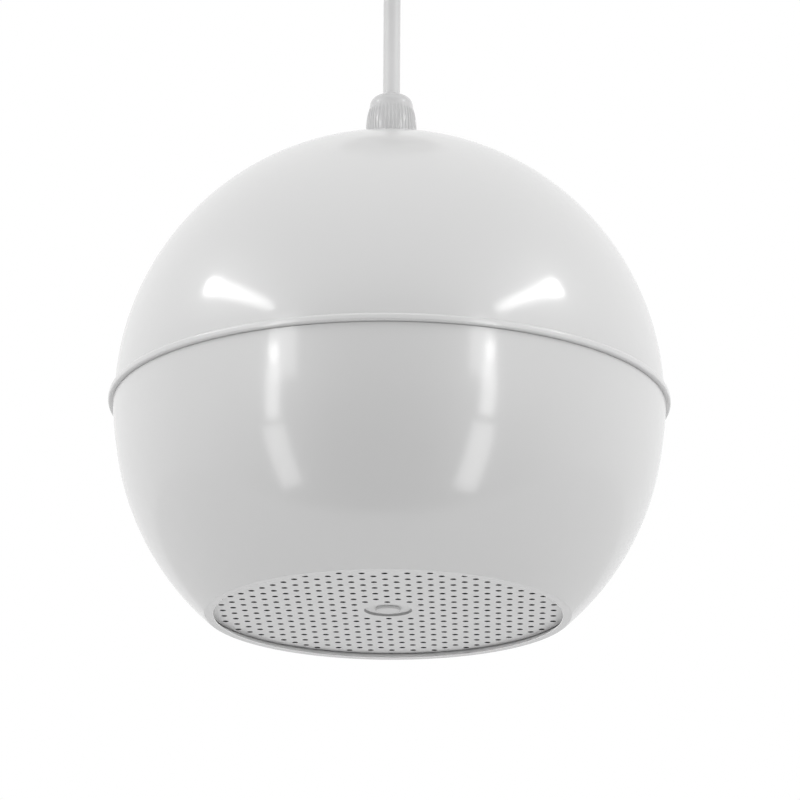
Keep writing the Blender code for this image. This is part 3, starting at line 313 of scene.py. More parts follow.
def drawn_mesh(name, curve):
    """The mesh of a curve that is only needed for making it."""
    drawn = bpy.data.objects.new(name, curve)
    mesh = bpy.data.meshes.new_from_object(drawn)
    bpy.data.objects.remove(drawn)
    bpy.data.curves.remove(curve)
    mesh.name = name
    return mesh


def add_spline(curve, points):
    spline = curve.splines.new("POLY")
    spline.points.add(len(points) - 1)
    for point, at in zip(spline.points, points):
        point.co = (*at, 1)
    return spline


def tube(name, radius, route, sides=8):
    curve = bpy.data.curves.new(name, "CURVE")
    curve.dimensions = "3D"
    curve.bevel_depth = radius
    curve.bevel_resolution = sides
    curve.use_fill_caps = True
    add_spline(curve, route)
    mesh = drawn_mesh(name, curve)
    smooth(mesh, 50)
    return mesh


def cable():
    thing = placed("speaker_cable", tube("speaker_cable", CABLE_RADIUS, CABLE_ROUTE))
    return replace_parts(thing, "cable")


speaker_cable = cable()


# Node helpers and effects that several materials share

def add(tree, kind, values=None, **settings):
    """A shader node with its settings, and each named input set or linked."""
    made = tree.nodes.new("ShaderNode" + kind)
    for key, value in settings.items():
        setattr(made, key, value)
    for socket, value in (values or {}).items():
        if isinstance(value, bpy.types.NodeSocket):
            tree.links.new(value, made.inputs[socket])
        else:
            made.inputs[socket].default_value = value
    return made


def math_node(tree, operation, *terms, clamp=False):
    return add(tree, "Math", dict(enumerate(terms)), operation=operation, use_clamp=clamp).outputs[0]


def dot_product(tree, one, two):
    return add(tree, "VectorMath", {0: one, 1: two}, operation="DOT_PRODUCT").outputs["Value"]


def scaled(tree, colour, gain):
    return add(tree, "VectorMath", {0: colour, "Scale": gain}, operation="SCALE").outputs["Vector"]


def ramp(tree, value, start, end, low=0.0, high=1.0, **settings):
    """A value taken from one range to another, and held at its ends."""
    ends = {"Value": value, "From Min": start, "From Max": end, "To Min": low, "To Max": high}
    return add(tree, "MapRange", ends, **settings).outputs["Result"]


def noise(tree, place, scale, **values):
    """Soft noise. The other inputs are given by their names in small letters."""
    named = {key.capitalize(): value for key, value in values.items()}
    return add(tree, "TexNoise", {"Vector": place, "Scale": scale, **named}).outputs["Fac"]


def own_place(tree):
    """Place on the object itself, in metres."""
    return add(tree, "TexCoord").outputs["Object"]


def effect(name, inputs, outputs):
    """An empty node group with its sockets, its input node and its output node."""
    tree = bpy.data.node_groups.new(name, "ShaderNodeTree")
    for title, kind, value in inputs:
        socket = tree.interface.new_socket(title, in_out="INPUT", socket_type="NodeSocket" + kind)
        socket.default_value = value
    for title, kind in outputs:
        tree.interface.new_socket(title, in_out="OUTPUT", socket_type="NodeSocket" + kind)
    return tree, tree.nodes.new("NodeGroupInput").outputs, tree.nodes.new("NodeGroupOutput").inputs


def ripple_effect():
    """Height of a soft moulded or sprayed skin, with waves about as wide as Size."""
    tree, given, out = effect("skin_ripple", [("Size", "Float", 0.003)], [("Height", "Float")])
    scale = math_node(tree, "DIVIDE", 1.0, given["Size"])
    tree.links.new(noise(tree, own_place(tree), scale, detail=1.0, roughness=0.4), out["Height"])
    return tree


def grain_effect():
    """Height of the fine grain of a powder coat or a spark-eroded mould."""
    tree, given, out = effect("fine_grain", [("Size", "Float", 0.0004)], [("Height", "Float")])
    place = own_place(tree)
    scale = math_node(tree, "DIVIDE", 1.0, given["Size"])
    values = {"Vector": place, "Scale": scale, "Smoothness": 0.6}
    cells = add(tree, "TexVoronoi", values, feature="SMOOTH_F1").outputs["Distance"]
    height = math_node(tree, "ADD", cells, noise(tree, place, scale, detail=3.0))
    tree.links.new(height, out["Height"])
    return tree


def drift_effect():
    """A colour that drifts a little lighter and darker over patches about as wide as Size."""
    tree, given, out = effect(
        "tone_drift",
        [("Color", "Color", (0.5, 0.5, 0.5, 1)), ("Size", "Float", 0.05), ("Amount", "Float", 0.03)],
        [("Color", "Color")],
    )
    scale = math_node(tree, "DIVIDE", 1.0, given["Size"])
    patches = noise(tree, own_place(tree), scale, detail=4.0, roughness=0.55)
    centred = math_node(tree, "SUBTRACT", patches, 0.5)
    gain = math_node(tree, "MULTIPLY_ADD", centred, given["Amount"], 1.0)
    tree.links.new(scaled(tree, given["Color"], gain), out["Color"])
    return tree


def dust_effect():
    """Mask of fine dust: a thin layer where the surface faces up, and a few specks anywhere."""
    tree, given, out = effect("settled_dust", [("Amount", "Float", 0.3)], [("Mask", "Float")])
    place = own_place(tree)
    facing = add(tree, "SeparateXYZ", {0: add(tree, "NewGeometry").outputs["Normal"]}).outputs["Z"]
    layer = ramp(tree, facing, 0.35, 1.0)
    film = math_node(tree, "MULTIPLY", layer, noise(tree, place, 60.0, detail=6.0))
    specks = add(tree, "TexVoronoi", {"Vector": place, "Scale": 160.0}).outputs["Distance"]
    both = math_node(tree, "MAXIMUM", film, ramp(tree, specks, 0.05, 0.02))
    tree.links.new(math_node(tree, "MULTIPLY", both, given["Amount"], clamp=True), out["Mask"])
    return tree


def handling_effect():
    """Roughness that varies with faint wipe marks and handling, around Base."""
    tree, given, out = effect(
        "handling", [("Base", "Float", 0.3), ("Spread", "Float", 0.05)], [("Roughness", "Float")]
    )
    place = own_place(tree)
    stretched = add(tree, "Mapping", {"Vector": place, "Scale": (1.0, 1.0, 2.5)}).outputs["Vector"]
    wipes = noise(tree, stretched, 28.0, detail=5.0, distortion=0.6)
    mixed = math_node(tree, "MULTIPLY", wipes, noise(tree, place, 420.0, detail=2.0))
    centred = math_node(tree, "SUBTRACT", mixed, 0.25)
    rough = math_node(tree, "MULTIPLY_ADD", centred, given["Spread"], given["Base"])
    tree.links.new(rough, out["Roughness"])
    return tree


EFFECTS = {
    "ripple": ripple_effect(),
    "grain": grain_effect(),
    "drift": drift_effect(),
    "dust": dust_effect(),
    "handling": handling_effect(),
}


def use(tree, effect_name, **values):
    """Place one of the shared effects in a material, with its own values."""
    made = tree.nodes.new("ShaderNodeGroup")
    made.node_tree = EFFECTS[effect_name]
    for socket, value in values.items():
        made.inputs[socket].default_value = value
    return made.outputs


def plain(name, roughness=0.5, metallic=0.0, ior=1.5):
    """A material with its Principled shader, and numbers that are the same all over set on that."""
    look = bpy.data.materials.new(name)
    look.use_nodes = True
    shader = look.node_tree.nodes["Principled BSDF"].inputs
    shader["Roughness"].default_value = roughness
    shader["Metallic"].default_value = metallic
    shader["IOR"].default_value = ior
    return look, look.node_tree, shader


def raise_skin(tree, shader, height, depth):
    bump = add(tree, "Bump", {"Height": height, "Distance": depth})
    tree.links.new(bump.outputs["Normal"], shader["Normal"])


def drifting(tree, colour, size, amount):
    return use(tree, "drift", Color=(*colour, 1), Size=size, Amount=amount)["Color"]


def toned(tree, shader, colour, size, amount):
    """Base colour with a slow drift."""
    out = drifting(tree, colour, size, amount)
    tree.links.new(out, shader["Base Color"])
    return out


def dusted(tree, shader, colour, amount):
    """Pale dust over a colour."""
    mix = add(tree, "Mix", {"Factor": use(tree, "dust", Amount=amount)["Mask"]}, data_type="RGBA")
    tree.links.new(colour, mix.inputs["A"])
    mix.inputs["B"].default_value = (0.62, 0.6, 0.57, 1)
    tree.links.new(mix.outputs["Result"], shader["Base Color"])


def handled(tree, shader, base, spread):
    """Roughness that handling has made uneven."""
    tree.links.new(use(tree, "handling", Base=base, Spread=spread)["Roughness"], shader["Roughness"])


def grey(shade):
    return shade, shade, shade


def finish(name, colour, patches, skin, handling=None, dust=0, coat=None, **surface):
    """A finish from the shared effects.

    patches is the size and the amount of the colour's drift, and skin an effect with its size and depth.
    handling is a roughness and its spread, and coat a weight and a roughness.
    """
    look, tree, shader = plain(name, **surface)
    base = toned(tree, shader, colour, *patches)
    if coat:
        shader["Coat Weight"].default_value = coat[0]
        shader["Coat Roughness"].default_value = coat[1]
    if dust:
        dusted(tree, shader, base, dust)
    if handling:
        handled(tree, shader, *handling)
    relief, size, depth = skin
    raise_skin(tree, shader, use(tree, relief, Size=size)["Height"], depth)
    return look


def shell_plastic():
    """ABS, light neutral grey: a smooth outer skin with a clear gloss over a softer sheen."""
    skin = ("ripple", 0.004, 0.000012)
    marks = {"handling": (0.42, 0.1), "dust": 0.1, "coat": (0.85, 0.13)}
    return finish("shell_plastic", grey(0.588), (0.06, 0.02), skin, **marks)


def ceiling_white():
    """The shells' plastic in a white that goes with a ceiling."""
    skin = ("ripple", 0.003, 0.00001)
    marks = {"handling": (0.45, 0.1), "dust": 0.1, "coat": (0.5, 0.2)}
    return finish("ceiling_white_plastic", grey(0.88), (0.03, 0.02), skin, **marks)


def inner_wall_painted_light():
    """The shell's plastic in a lighter, duller copy for the inside of the bowl: painted light, lifting the
    inner wall by the rim out of its shade.
    """
    skin = ("grain", 0.0006, 0.00001)
    return finish("inner_wall_painted_light", grey(0.9), (0.05, 0.03), skin, handling=(0.5, 0.1))


def grille_paint():
    """Fine light grey powder coat."""
    skin = ("grain", 0.0005, 0.00003)
    return finish("grille_powder_coat", grey(0.66), (0.02, 0.05), skin, handling=(0.48, 0.1))


def painted_shade_wall(name, shade):
    """Darker grey for the walls of the grille's holes and of its dish: painted shade, with the powder coat's
    fine grain.
    """
    return finish(name, grey(shade), (0.002, 0.4), ("grain", 0.0003, 0.00002), roughness=0.6)


def badge_plastic():
    skin = ("ripple", 0.0015, 0.00001)
    return finish("badge_plastic", grey(0.57), (0.004, 0.03), skin, handling=(0.22, 0.08))


def gland_nylon():
    """Glass-filled nylon: mottled, satin up to the top of the nut's ribs and polished above them."""
    skin = ("grain", 0.0007, 0.000002)
    marks = {"handling": (0.4, 0.16), "dust": 0.2, "coat": (0.3, 0.03)}
    look = finish("gland_nylon", (0.53, 0.53, 0.533), (0.004, 0.08), skin, ior=1.53, **marks)
    tree = look.node_tree
    height = add(tree, "SeparateXYZ", {0: own_place(tree)}).outputs["Z"]
    ribs_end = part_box("gland_nut")[0].z + NUT_POLISHED_FROM
    polish = ramp(tree, height, ribs_end - 0.0004, ribs_end, 0.3, 1.0)
    tree.links.new(polish, tree.nodes["Principled BSDF"].inputs["Coat Weight"])
    return look


def cable_pvc():
    """Extruded jacket: faint drawn lines along it."""
    look, tree, shader = plain("cable_jacket")
    toned(tree, shader, grey(0.625), 0.01, 0.05)
    stretched = {"Vector": own_place(tree), "Scale": (900.0, 900.0, 12.0)}
    lines = noise(tree, add(tree, "Mapping", stretched).outputs["Vector"], 1.0, detail=2.0)
    handled(tree, shader, 0.42, 0.12)
    raise_skin(tree, shader, lines, 0.00003)
    return look


def soft_black(name, shade, roughness, size, depth):
    """Rubber, foam or paper: a dark colour with its own grain."""
    return finish(name, grey(shade), (8 * size, 0.25), ("grain", size, depth), roughness=roughness)


def spider_cloth():
    """Open-weave cotton, stiffened with resin."""
    look, tree, shader = plain("spider_cloth", 0.85)
    threads = {"Vector": own_place(tree), "Scale": 700.0}
    warp = add(tree, "TexWave", threads, bands_direction="X").outputs["Fac"]
    weft = add(tree, "TexWave", threads, bands_direction="Y").outputs["Fac"]
    weave = math_node(tree, "MULTIPLY", warp, weft)
    shade = ramp(tree, weave, 0.0, 1.0, 0.75, 1.1)
    woven = scaled(tree, drifting(tree, (0.5, 0.32, 0.1), 0.01, 0.2), shade)
    tree.links.new(woven, shader["Base Color"])
    raise_skin(tree, shader, weave, 0.0001)
    return look


def zinc_steel():
    """Bright zinc plate with a faint passivated bloom."""
    skin = ("grain", 0.0003, 0.000008)
    return finish("zinc_steel", (0.62, 0.62, 0.6), (0.006, 0.22), skin, handling=(0.32, 0.25), metallic=1.0)


def black_steel():
    skin = ("ripple", 0.0012, 0.00002)
    marks = {"handling": (0.4, 0.2), "dust": 0.08}
    return finish("black_painted_steel", (0.03, 0.03, 0.031), (0.01, 0.3), skin, **marks)


def ferrite():
    skin = ("grain", 0.0006, 0.00004)
    return finish("ground_ferrite", (0.05, 0.05, 0.055), (0.003, 0.3), skin, roughness=0.6)


def banded(name, colour, dark, pitch, axis, roughness, metallic):
    """Turns of wire or stacked sheets: fine lines a pitch apart along an axis."""
    look, tree, shader = plain(name, roughness, metallic)
    across = {"X": (1 / pitch, 0, 0), "Z": (0, 0, 1 / pitch)}[axis]
    saw = math_node(tree, "FRACT", dot_product(tree, own_place(tree), across))
    round_up = math_node(tree, "SINE", math_node(tree, "MULTIPLY", saw, math.pi))
    mix = add(tree, "Mix", {"Factor": round_up}, data_type="RGBA")
    mix.inputs["A"].default_value = (*dark, 1)
    tree.links.new(drifting(tree, colour, 0.004, 0.2), mix.inputs["B"])
    tree.links.new(mix.outputs["Result"], shader["Base Color"])
    raise_skin(tree, shader, round_up, pitch / 4)
    return look


def board():
    """Phenolic paper board: brown with flecks."""
    return finish("phenolic_board", (0.3, 0.14, 0.05), (0.002, 0.5), ("grain", 0.0003, 0.00001))


def moulded(name, colour, roughness=0.35):
    """Small mouldings and wire insulation."""
    return finish(name, colour, (0.003, 0.1), ("ripple", 0.0008, 0.00001), handling=(roughness, 0.12))


LOOKS = {
    "shell": shell_plastic(),
    "grille": grille_paint(),
    "badge": badge_plastic(),
    "gland": gland_nylon(),
    "cable_jacket": cable_pvc(),
    "rubber": soft_black("black_rubber", 0.03, 0.7, 0.0004, 0.00002),
    "foam": soft_black("open_foam", 0.02, 0.95, 0.0008, 0.0003),
    "cone_paper": soft_black("pressed_paper", 0.03, 0.9, 0.0006, 0.00006),
    "spider_cloth": spider_cloth(),
    "zinc_steel": zinc_steel(),
    "black_steel": black_steel(),
    "ferrite": ferrite(),
    "coil": banded("coil_winding", (0.6, 0.25, 0.12), (0.25, 0.09, 0.04), 0.0002, "Z", 0.35, 1.0),
    "laminations": banded("core_sheets", (0.3, 0.3, 0.32), (0.1, 0.1, 0.11), 0.0005, "X", 0.45, 1.0),
    "tape": banded("winding_tape", (0.6, 0.45, 0.1), (0.45, 0.32, 0.06), 0.006, "Z", 0.35, 0.0),
    "board": board(),
    "white_plastic": moulded("white_nylon", (0.75, 0.75, 0.72), 0.4),
    "red_wire": moulded("red_insulation", (0.5, 0.02, 0.02)),
    "black_wire": moulded("black_insulation", (0.02, 0.02, 0.02)),
    "brown_wire": moulded("brown_insulation", (0.2, 0.07, 0.02)),
    "blue_wire": moulded("blue_insulation", (0.02, 0.06, 0.4)),
}


def dress(thing, slot):
    """Give a new piece the look of one of the record's slots."""
    thing.data.materials.clear()
    thing.data.materials.append(LOOKS[slot])
    return thing


def stand_in(thing, node, slot):
    """Let a new piece stand for a node of the CAD, in the look of a slot."""
    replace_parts(thing, node)
    return dress(thing, slot)


for part in frame["record"]["subparts"]:
    cad_piece = frame["nodes"][part["node"]]
    for place_in in cad_piece.material_slots:
        place_in.material = LOOKS[part["material_slot"]]

dress(speaker_cable, "cable_jacket")


# The ball

def above(height):
    """Height over the ball's middle plane, in the frame."""
    return MIDDLE + height


def middle_of(node):
    low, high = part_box(node)
    return (low.x + high.x) / 2, (low.y + high.y) / 2


def post(shape, at, radius, foot, top, hole):
    """A moulded post from foot, where its free end has a blind pilot hole, to top."""
    way = 1 if top > foot else -1
    deep = foot + way * hole
    bore = [(0, deep, 0), (SCREW_RADIUS, deep, 0), (SCREW_RADIUS, foot, 0.0002)]
    outside = [(radius, foot, 0.0004), (radius * 1.08, top, 0), (0, top, 0)]
    turn_into(shape, filleted(bore + outside, 2), 32, False, at)


def post_top(radius, centre, at, width):
    """Height in the middle of a ball's wall, over the outer edge of a post."""
    reach = math.hypot(*at) + width
    return math.sqrt((radius - WALL / 2) ** 2 - reach**2) - centre


def half_ball(name, node, line, screws, post_sizes):
    """One of the ball's shells, with a post at each of its screws.

    post_sizes is a post's radius, the height of its free end, the wall's height over a place, and the depth
    of its pilot hole.
    """
    shape = bmesh.new()
    turn_into(shape, [(r, above(z)) for r, z in line], BALL_SIDES)
    radius, foot, wall, hole = post_sizes
    for screw in screws:
        at = middle_of(screw)
        post(shape, at, radius, foot, above(wall(at)), hole)
    return stand_in(even_normals(placed(name, finished_mesh(name, shape))), node, "shell")


BALL_SCREWS = ("transformer_screw_1", "transformer_screw_2", "block_screw")
DRIVER_SCREWS = [f"driver_screw_{number}" for number in range(1, 5)]


def upper_dome():
    inside = DOME_RADIUS - WALL
    centre = HALF_BAND
    bead_top = FIT + BEAD_HEIGHT
    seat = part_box("gland_washer")[0].z - FIT - MIDDLE
    rim = dome_high.z - MIDDLE
    around = SEAT_RECESS + WALL
    inner_rim = centre + math.sqrt(inside**2 - around**2)
    outer_rim = centre + math.sqrt(DOME_RADIUS**2 - (SEAT_RECESS + 0.001) ** 2)
    side = arc(DOME_RADIUS, centre, outer_rim, bead_top + 0.0005, 44)
    mouth = [
        (around, inner_rim, 0),
        (around, seat - WALL, 0.0005),
        (SPIGOT_HOLE, seat - WALL, 0),
        (SPIGOT_HOLE, seat, 0.0003),
        (SEAT_RECESS, seat, 0.0005),
        (SEAT_RECESS, rim, 0.0004),
        (*side[0], 0),
    ]
    bead = [
        (*side[-1], 0),
        (math.sqrt(DOME_RADIUS**2 - (bead_top - centre) ** 2), bead_top, 0.0005),
        (BEAD_RADIUS, bead_top, 0.0018),
        (BEAD_RADIUS, FIT, 0.0008),
        (inside, FIT, 0),
    ]
    groove = [
        (inside, SNAP_HEIGHT - SNAP_HALF),
        (inside + SNAP_DEPTH, SNAP_HEIGHT - SNAP_HALF),
        (inside + SNAP_DEPTH, SNAP_HEIGHT + SNAP_HALF),
        (inside, SNAP_HEIGHT + SNAP_HALF),
    ]
    under = arc(inside, centre, SNAP_HEIGHT + 0.0009, inner_rim, 30)
    line = filleted(mouth)[1:-1] + side + filleted(bead, 6)[1:] + groove + under

    def wall(at):
        return post_top(DOME_RADIUS, -centre, at, PILLAR_RADIUS + FIT)

    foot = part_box("transformer_frame")[1].z + FIT
    return half_ball("upper_shell", "upper_dome", line, BALL_SCREWS, (PILLAR_RADIUS, foot, wall, 0.0068))


def lower_bowl():
    inside = BOWL_RADIUS - WALL
    centre = -HALF_BAND
    rim = RIM - MIDDLE
    tongue = DOME_RADIUS - WALL - FIT
    bore = tongue - TONGUE_WALL
    rim_outer = math.sqrt(BOWL_RADIUS**2 - (rim - centre) ** 2)
    rim_inner = math.sqrt(inside**2 - (rim - centre) ** 2)
    side = arc(BOWL_RADIUS, centre, centre, rim + 0.0009, 40)
    side = [(r + FLARE * max(0, 1 + z / FLARE_DEPTH) ** 2, z) for r, z in side]
    under = arc(inside, centre, rim + 0.0006, centre - 3 * TONGUE_WALL, 30)
    collar = [
        (bore, TONGUE_HEIGHT - 0.002, 0),
        (bore, TONGUE_HEIGHT, 0.0003),
        (tongue - FIT, TONGUE_HEIGHT, 0.0003),
        (tongue + 0.0006, TONGUE_HEIGHT - 0.0005, 0.0001),
        (tongue, TONGUE_HEIGHT - 0.0011, 0),
        (tongue, SHOULDER, 0),
        (BOWL_RADIUS + FLARE, SHOULDER, 0.00012),
        (*side[0], 0),
    ]
    lip = [(*side[-1], 0), (rim_outer, rim, 0.0012), (rim_inner, rim, 0.0002), (*under[0], 0)]
    line = filleted(collar, 3)[:-1] + side + filleted(lip, 5)[1:-1] + under + [(bore, centre)]

    def wall(at):
        """Height 5 mm above the bowl's wall, so that these posts stand up round the screws instead."""
        return -post_top(BOWL_RADIUS, -centre, at, BOSS_RADIUS + FIT)

    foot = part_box("basket")[0].z - FIT
    thing = half_ball("lower_shell", "lower_bowl", line, DRIVER_SCREWS, (BOSS_RADIUS, foot, wall, 0.0045))
    thing.data.materials.append(inner_wall_painted_light())
    # The inward faces between the rim and the middle plane take the lighter copy: painted light on the inner
    # wall, which stands in shade.
    for face in thing.data.polygons:
        inward = face.normal.xy.dot(face.center.xy) < 0
        if inward and above(rim) < face.center.z < above(centre):
            face.material_index = 1
    return thing


# The grille

def hole_places():
    reach = GRILLE_RADIUS - PATTERN_MARGIN
    clear = DISH_RADIUS + DISH_CLEAR
    count = int(reach / HOLE_STEP)
    places = []
    for row in range(-count, count + 1):
        for column in range(-count, count + 1):
            distance = HOLE_STEP * math.hypot(row, column)
            if (row + column) % 2 and clear < distance < reach:
                places.append((HOLE_STEP * column, HOLE_STEP * row))
    return places


def circle(radius, sides, middle=(0, 0)):
    angles = [math.tau * i / sides for i in range(sides)]
    return [(middle[0] + radius * math.cos(a), middle[1] + radius * math.sin(a)) for a in angles]


def flat_outline(loops):
    """A bmesh of the flat area between outlines, at z = 0."""
    curve = bpy.data.curves.new("outline", "CURVE")
    curve.dimensions = "2D"
    curve.fill_mode = "BOTH"
    for loop in loops:
        add_spline(curve, [(x, y, 0) for x, y in loop]).use_cyclic_u = True
    mesh = drawn_mesh("outline", curve)
    shape = bmesh.new()
    shape.from_mesh(mesh)
    bpy.data.meshes.remove(mesh)
    bmesh.ops.remove_doubles(shape, verts=shape.verts, dist=0.000001)
    return shape


def only_verts(geometry):
    return [item for item in geometry if isinstance(item, bmesh.types.BMVert)]


def grille():
    """Punched sheet: each hole has a softened rim on both faces, and the middle is pressed up into a dish."""
    low, high = grille_low.z, grille_high.z - DISH_DEPTH
    half = (high - low) / 2
    dish_edge = DISH_RADIUS + DISH_CLEAR * 0.8
    holes = hole_places()
    loops = [circle(GRILLE_RADIUS - RIM_ROUND + 0.0002, BALL_SIDES), circle(dish_edge, DRIVER_SIDES)]
    loops += [circle(HOLE_RADIUS + RIM_ROUND, 16, at) for at in holes]
    shape = flat_outline(loops)
    bmesh.ops.translate(shape, vec=(0, 0, -half), verts=shape.verts)
    centres = {(round(x / HOLE_STEP), round(y / HOLE_STEP)) for x, y in holes}

    def moved(vert, radial, z):
        """Shift a rim point towards its hole's middle, or out at the sheet's edge, and set its height."""
        flat = vert.co.to_2d()
        if flat.length > GRILLE_RADIUS - 3 * RIM_ROUND:
            flat += flat.normalized() * radial
        else:
            x, y = flat / HOLE_STEP
            near = [(c, r) for c in (math.floor(x), math.ceil(x)) for r in (math.floor(y), math.ceil(y))]
            hole = min(
                (at for at in near if at in centres), key=lambda at: (at[0] - x) ** 2 + (at[1] - y) ** 2
            )
            inward = Vector(hole) * HOLE_STEP - flat
            flat += inward.normalized() * radial
        vert.co = (flat.x, flat.y, z)

    for radial, z in ((RIM_ROUND, -half + RIM_ROUND), (0, 0)):
        rims = [e for e in shape.edges if e.is_boundary]
        rims = [e for e in rims if e.verts[0].co.to_2d().length > dish_edge + 0.0002]
        for vert in only_verts(bmesh.ops.extrude_edge_only(shape, edges=rims)["geom"]):
            moved(vert, radial, z)
    other = bmesh.ops.duplicate(shape, geom=shape.verts[:] + shape.edges[:] + shape.faces[:])["geom"]
    bmesh.ops.scale(shape, vec=(1, 1, -1), verts=only_verts(other))
    bmesh.ops.translate(shape, vec=(0, 0, (high + low) / 2), verts=shape.verts)
    for face in (low, high):
        floor = face + DISH_DEPTH
        slope = [(DISH_RADIUS, face, 0.0002), (DISH_RADIUS - DISH_TAPER, floor, 0.0002)]
        turn_into(shape, filleted([(dish_edge, face, 0), *slope, (0, floor, 0)]), DRIVER_SIDES, False)
    bmesh.ops.remove_doubles(shape, verts=shape.verts, dist=0.000002)
    thing = placed("perforated_grille", finished_mesh("perforated_grille", shape, 30))
    stand_in(thing, "grille", "grille")
    thing.data.materials.append(painted_shade_wall("hole_wall_painted_shade", 0.03))
    thing.data.materials.append(painted_shade_wall("dish_wall_painted_shade", 0.3))
    # Hole walls take a near-black painted shade, and the dish's wall a darker grey painted shade.
    for face in thing.data.polygons:
        out = face.center.to_2d().length
        if abs(face.normal.z) < 0.9 and out < GRILLE_RADIUS - 4 * RIM_ROUND:
            face.material_index = 1 if out > dish_edge else 2
    return thing


def badge_button():
    """Plain round button with a rolled edge round a slightly sunk middle."""
    low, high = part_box("badge_button")
    radius = high.x
    seat = grille_low.z + DISH_DEPTH - 0.00006
    line = [
        (0, seat, 0),
        (radius, seat, 0.0001),
        (radius, low.z, 0.0004),
        (radius * 0.82, low.z, 0.0002),
        (radius * 0.78, low.z + 0.00012, 0.0001),
        (0, low.z + 0.00004, 0),
    ]
    return stand_in(turned("badge_disc", filleted(line, 5), closed=False), "badge_button", "badge")


# The cable gland

def gland_nut():
    low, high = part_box("gland_nut")
    foot, top = low.z, high.z
    mouth = CABLE_RADIUS + 0.0005
    ribs_end = foot + NUT_RIBBED_HEIGHT * 0.95
    side = []
    for i in range(15):
        share = i / 14
        radius = NUT_NECK + (NUT_FOOT - NUT_NECK) * (1 - share**3.2)
        side.append((radius, foot + 0.0003 + (NUT_RIBBED_HEIGHT - 0.0003) * share))
    for i in range(1, 19):
        angle = math.pi / 2 * i / 18
        radius = NUT_NECK * math.cos(angle) ** 0.75
        if radius > mouth + 0.0003:
            side.append((radius, foot + NUT_RIBBED_HEIGHT + NUT_DOME_HEIGHT * math.sin(angle) ** 0.75))
    edge = side[-1][1]
    line = [(SPIGOT_HOLE, foot), (NUT_FOOT - 0.0003, foot)] + side
    line += [(mouth + 0.0001, edge), (mouth, edge - 0.0002), (mouth, top - 0.002)]
    line += [(SPIGOT_HOLE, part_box("gland_seal")[1].z + FIT)]

    def ribbed(radius, height, angle):
        """Round ribs that run out into the domed top."""
        if radius < NUT_NECK * 0.95 or height > ribs_end:
            return radius
        fade = min(1, (ribs_end - height) / 0.0012, max(0, (height - foot) / 0.0004 + 0.25))
        swing = angle * NUT_RIBS / math.tau % 1
        ridge = max(0, math.cos(math.tau * swing)) ** 0.7
        return radius - RIB_DEPTH * fade * (1 - ridge)

    return stand_in(turned("ribbed_gland_nut", line, NUT_RIBS * 12, relief=ribbed), "gland_nut", "gland")


def gland_washer():
    low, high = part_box("gland_washer")
    bore = SPIGOT_HOLE + 0.0001
    line = filleted([(bore, low.z, 0), (high.x, low.z, 0.0004), (high.x, high.z, 0.0006), (bore, high.z, 0)])
    return stand_in(turned("gland_sealing_washer", line), "gland_washer", "rubber")


def hexagon(corner, angle):
    """Radius of a hexagon at an angle, from the radius of its corners."""
    return corner * math.cos(math.pi / 6) / math.cos((angle + math.pi / 6) % (math.pi / 3) - math.pi / 6)


def gland_body():
    """Hexagon with turned-down corners, its collar and its threaded spigot."""
    low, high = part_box("gland_body")
    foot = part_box("gland_washer")[1].z + FIT
    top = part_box("gland_nut")[0].z - FIT
    chamfer = 0.0007
    face = 0.0096
    seal_bore, cable_bore = 0.0062, 0.0046

    def six_sided(radius, height, angle):
        if not foot - 0.00001 <= height <= top + 0.00001 or radius < SPIGOT_HOLE:
            return radius
        near_end = min(height - foot, top - height)
        limit = HEXAGON_CORNER - max(0, chamfer - near_end) * 1.4
        return min(hexagon(HEXAGON_CORNER, angle), limit, radius)

    turns = 14
    line = []
    for i in range(turns + 1):
        height = low.z + (foot - low.z - 0.0006) * i / turns
        line.append((SPIGOT_RADIUS if i % 2 else SPIGOT_RADIUS - 0.0004, height))
    line += [(SPIGOT_RADIUS, foot), (face, foot)]
    for height in (foot + 0.0004, foot + chamfer, (foot + top) / 2, top - chamfer, top - 0.0004):
        line.append((HEXAGON_CORNER, height))
    line += [(face, top), (SPIGOT_RADIUS, top)]
    line += [(SPIGOT_RADIUS, high.z - 0.0003), (SPIGOT_RADIUS - 0.0003, high.z)]
    line += [(seal_bore, high.z), (seal_bore, top), (cable_bore, top), (cable_bore, low.z)]
    return stand_in(turned("gland_hexagon_body", line, 144, relief=six_sided), "gland_body", "gland")


# Inside the gland, and under the ceiling

def hexagon_nut(name, node, bore):
    """Moulded nut: both ends turned down at the corners, and a countersunk bore."""
    low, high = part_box(node)
    radius, foot, top = high.x, low.z, high.z
    across = radius * math.cos(math.pi / 6)
    chamfer = (top - foot) * 0.22

    def six_sided(ring_radius, height, angle):
        if ring_radius < across * 0.9:
            return ring_radius
        near_end = min(height - foot, top - height)
        return min(hexagon(radius, angle), radius - max(0, chamfer - near_end) * 1.5, ring_radius)

    line = [(bore + 0.0004, foot), (across * 0.93, foot)]
    for height in (foot + chamfer / 2, foot + chamfer, top - chamfer, top - chamfer / 2):
        line.append((radius, height))
    line += [(across * 0.93, top), (bore + 0.0004, top), (bore, top - 0.0004), (bore, foot + 0.0004)]
    return stand_in(turned(name, line, 96, relief=six_sided), node, "gland")


def gland_seal():
    """Soft sleeve with three pressed rings."""
    low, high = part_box("gland_seal")
    bore = CABLE_RADIUS + FIT
    line = [(bore, low.z)]
    for i in range(25):
        share = i / 24
        swell = 0.00012 * math.cos(math.tau * 3 * share) - 0.00012
        line.append((high.x - 0.00002 + swell, low.z + 0.0002 + (high.z - low.z - 0.0004) * share))
    line.append((bore, high.z))
    return stand_in(turned("gland_rubber_seal", line), "gland_seal", "rubber")


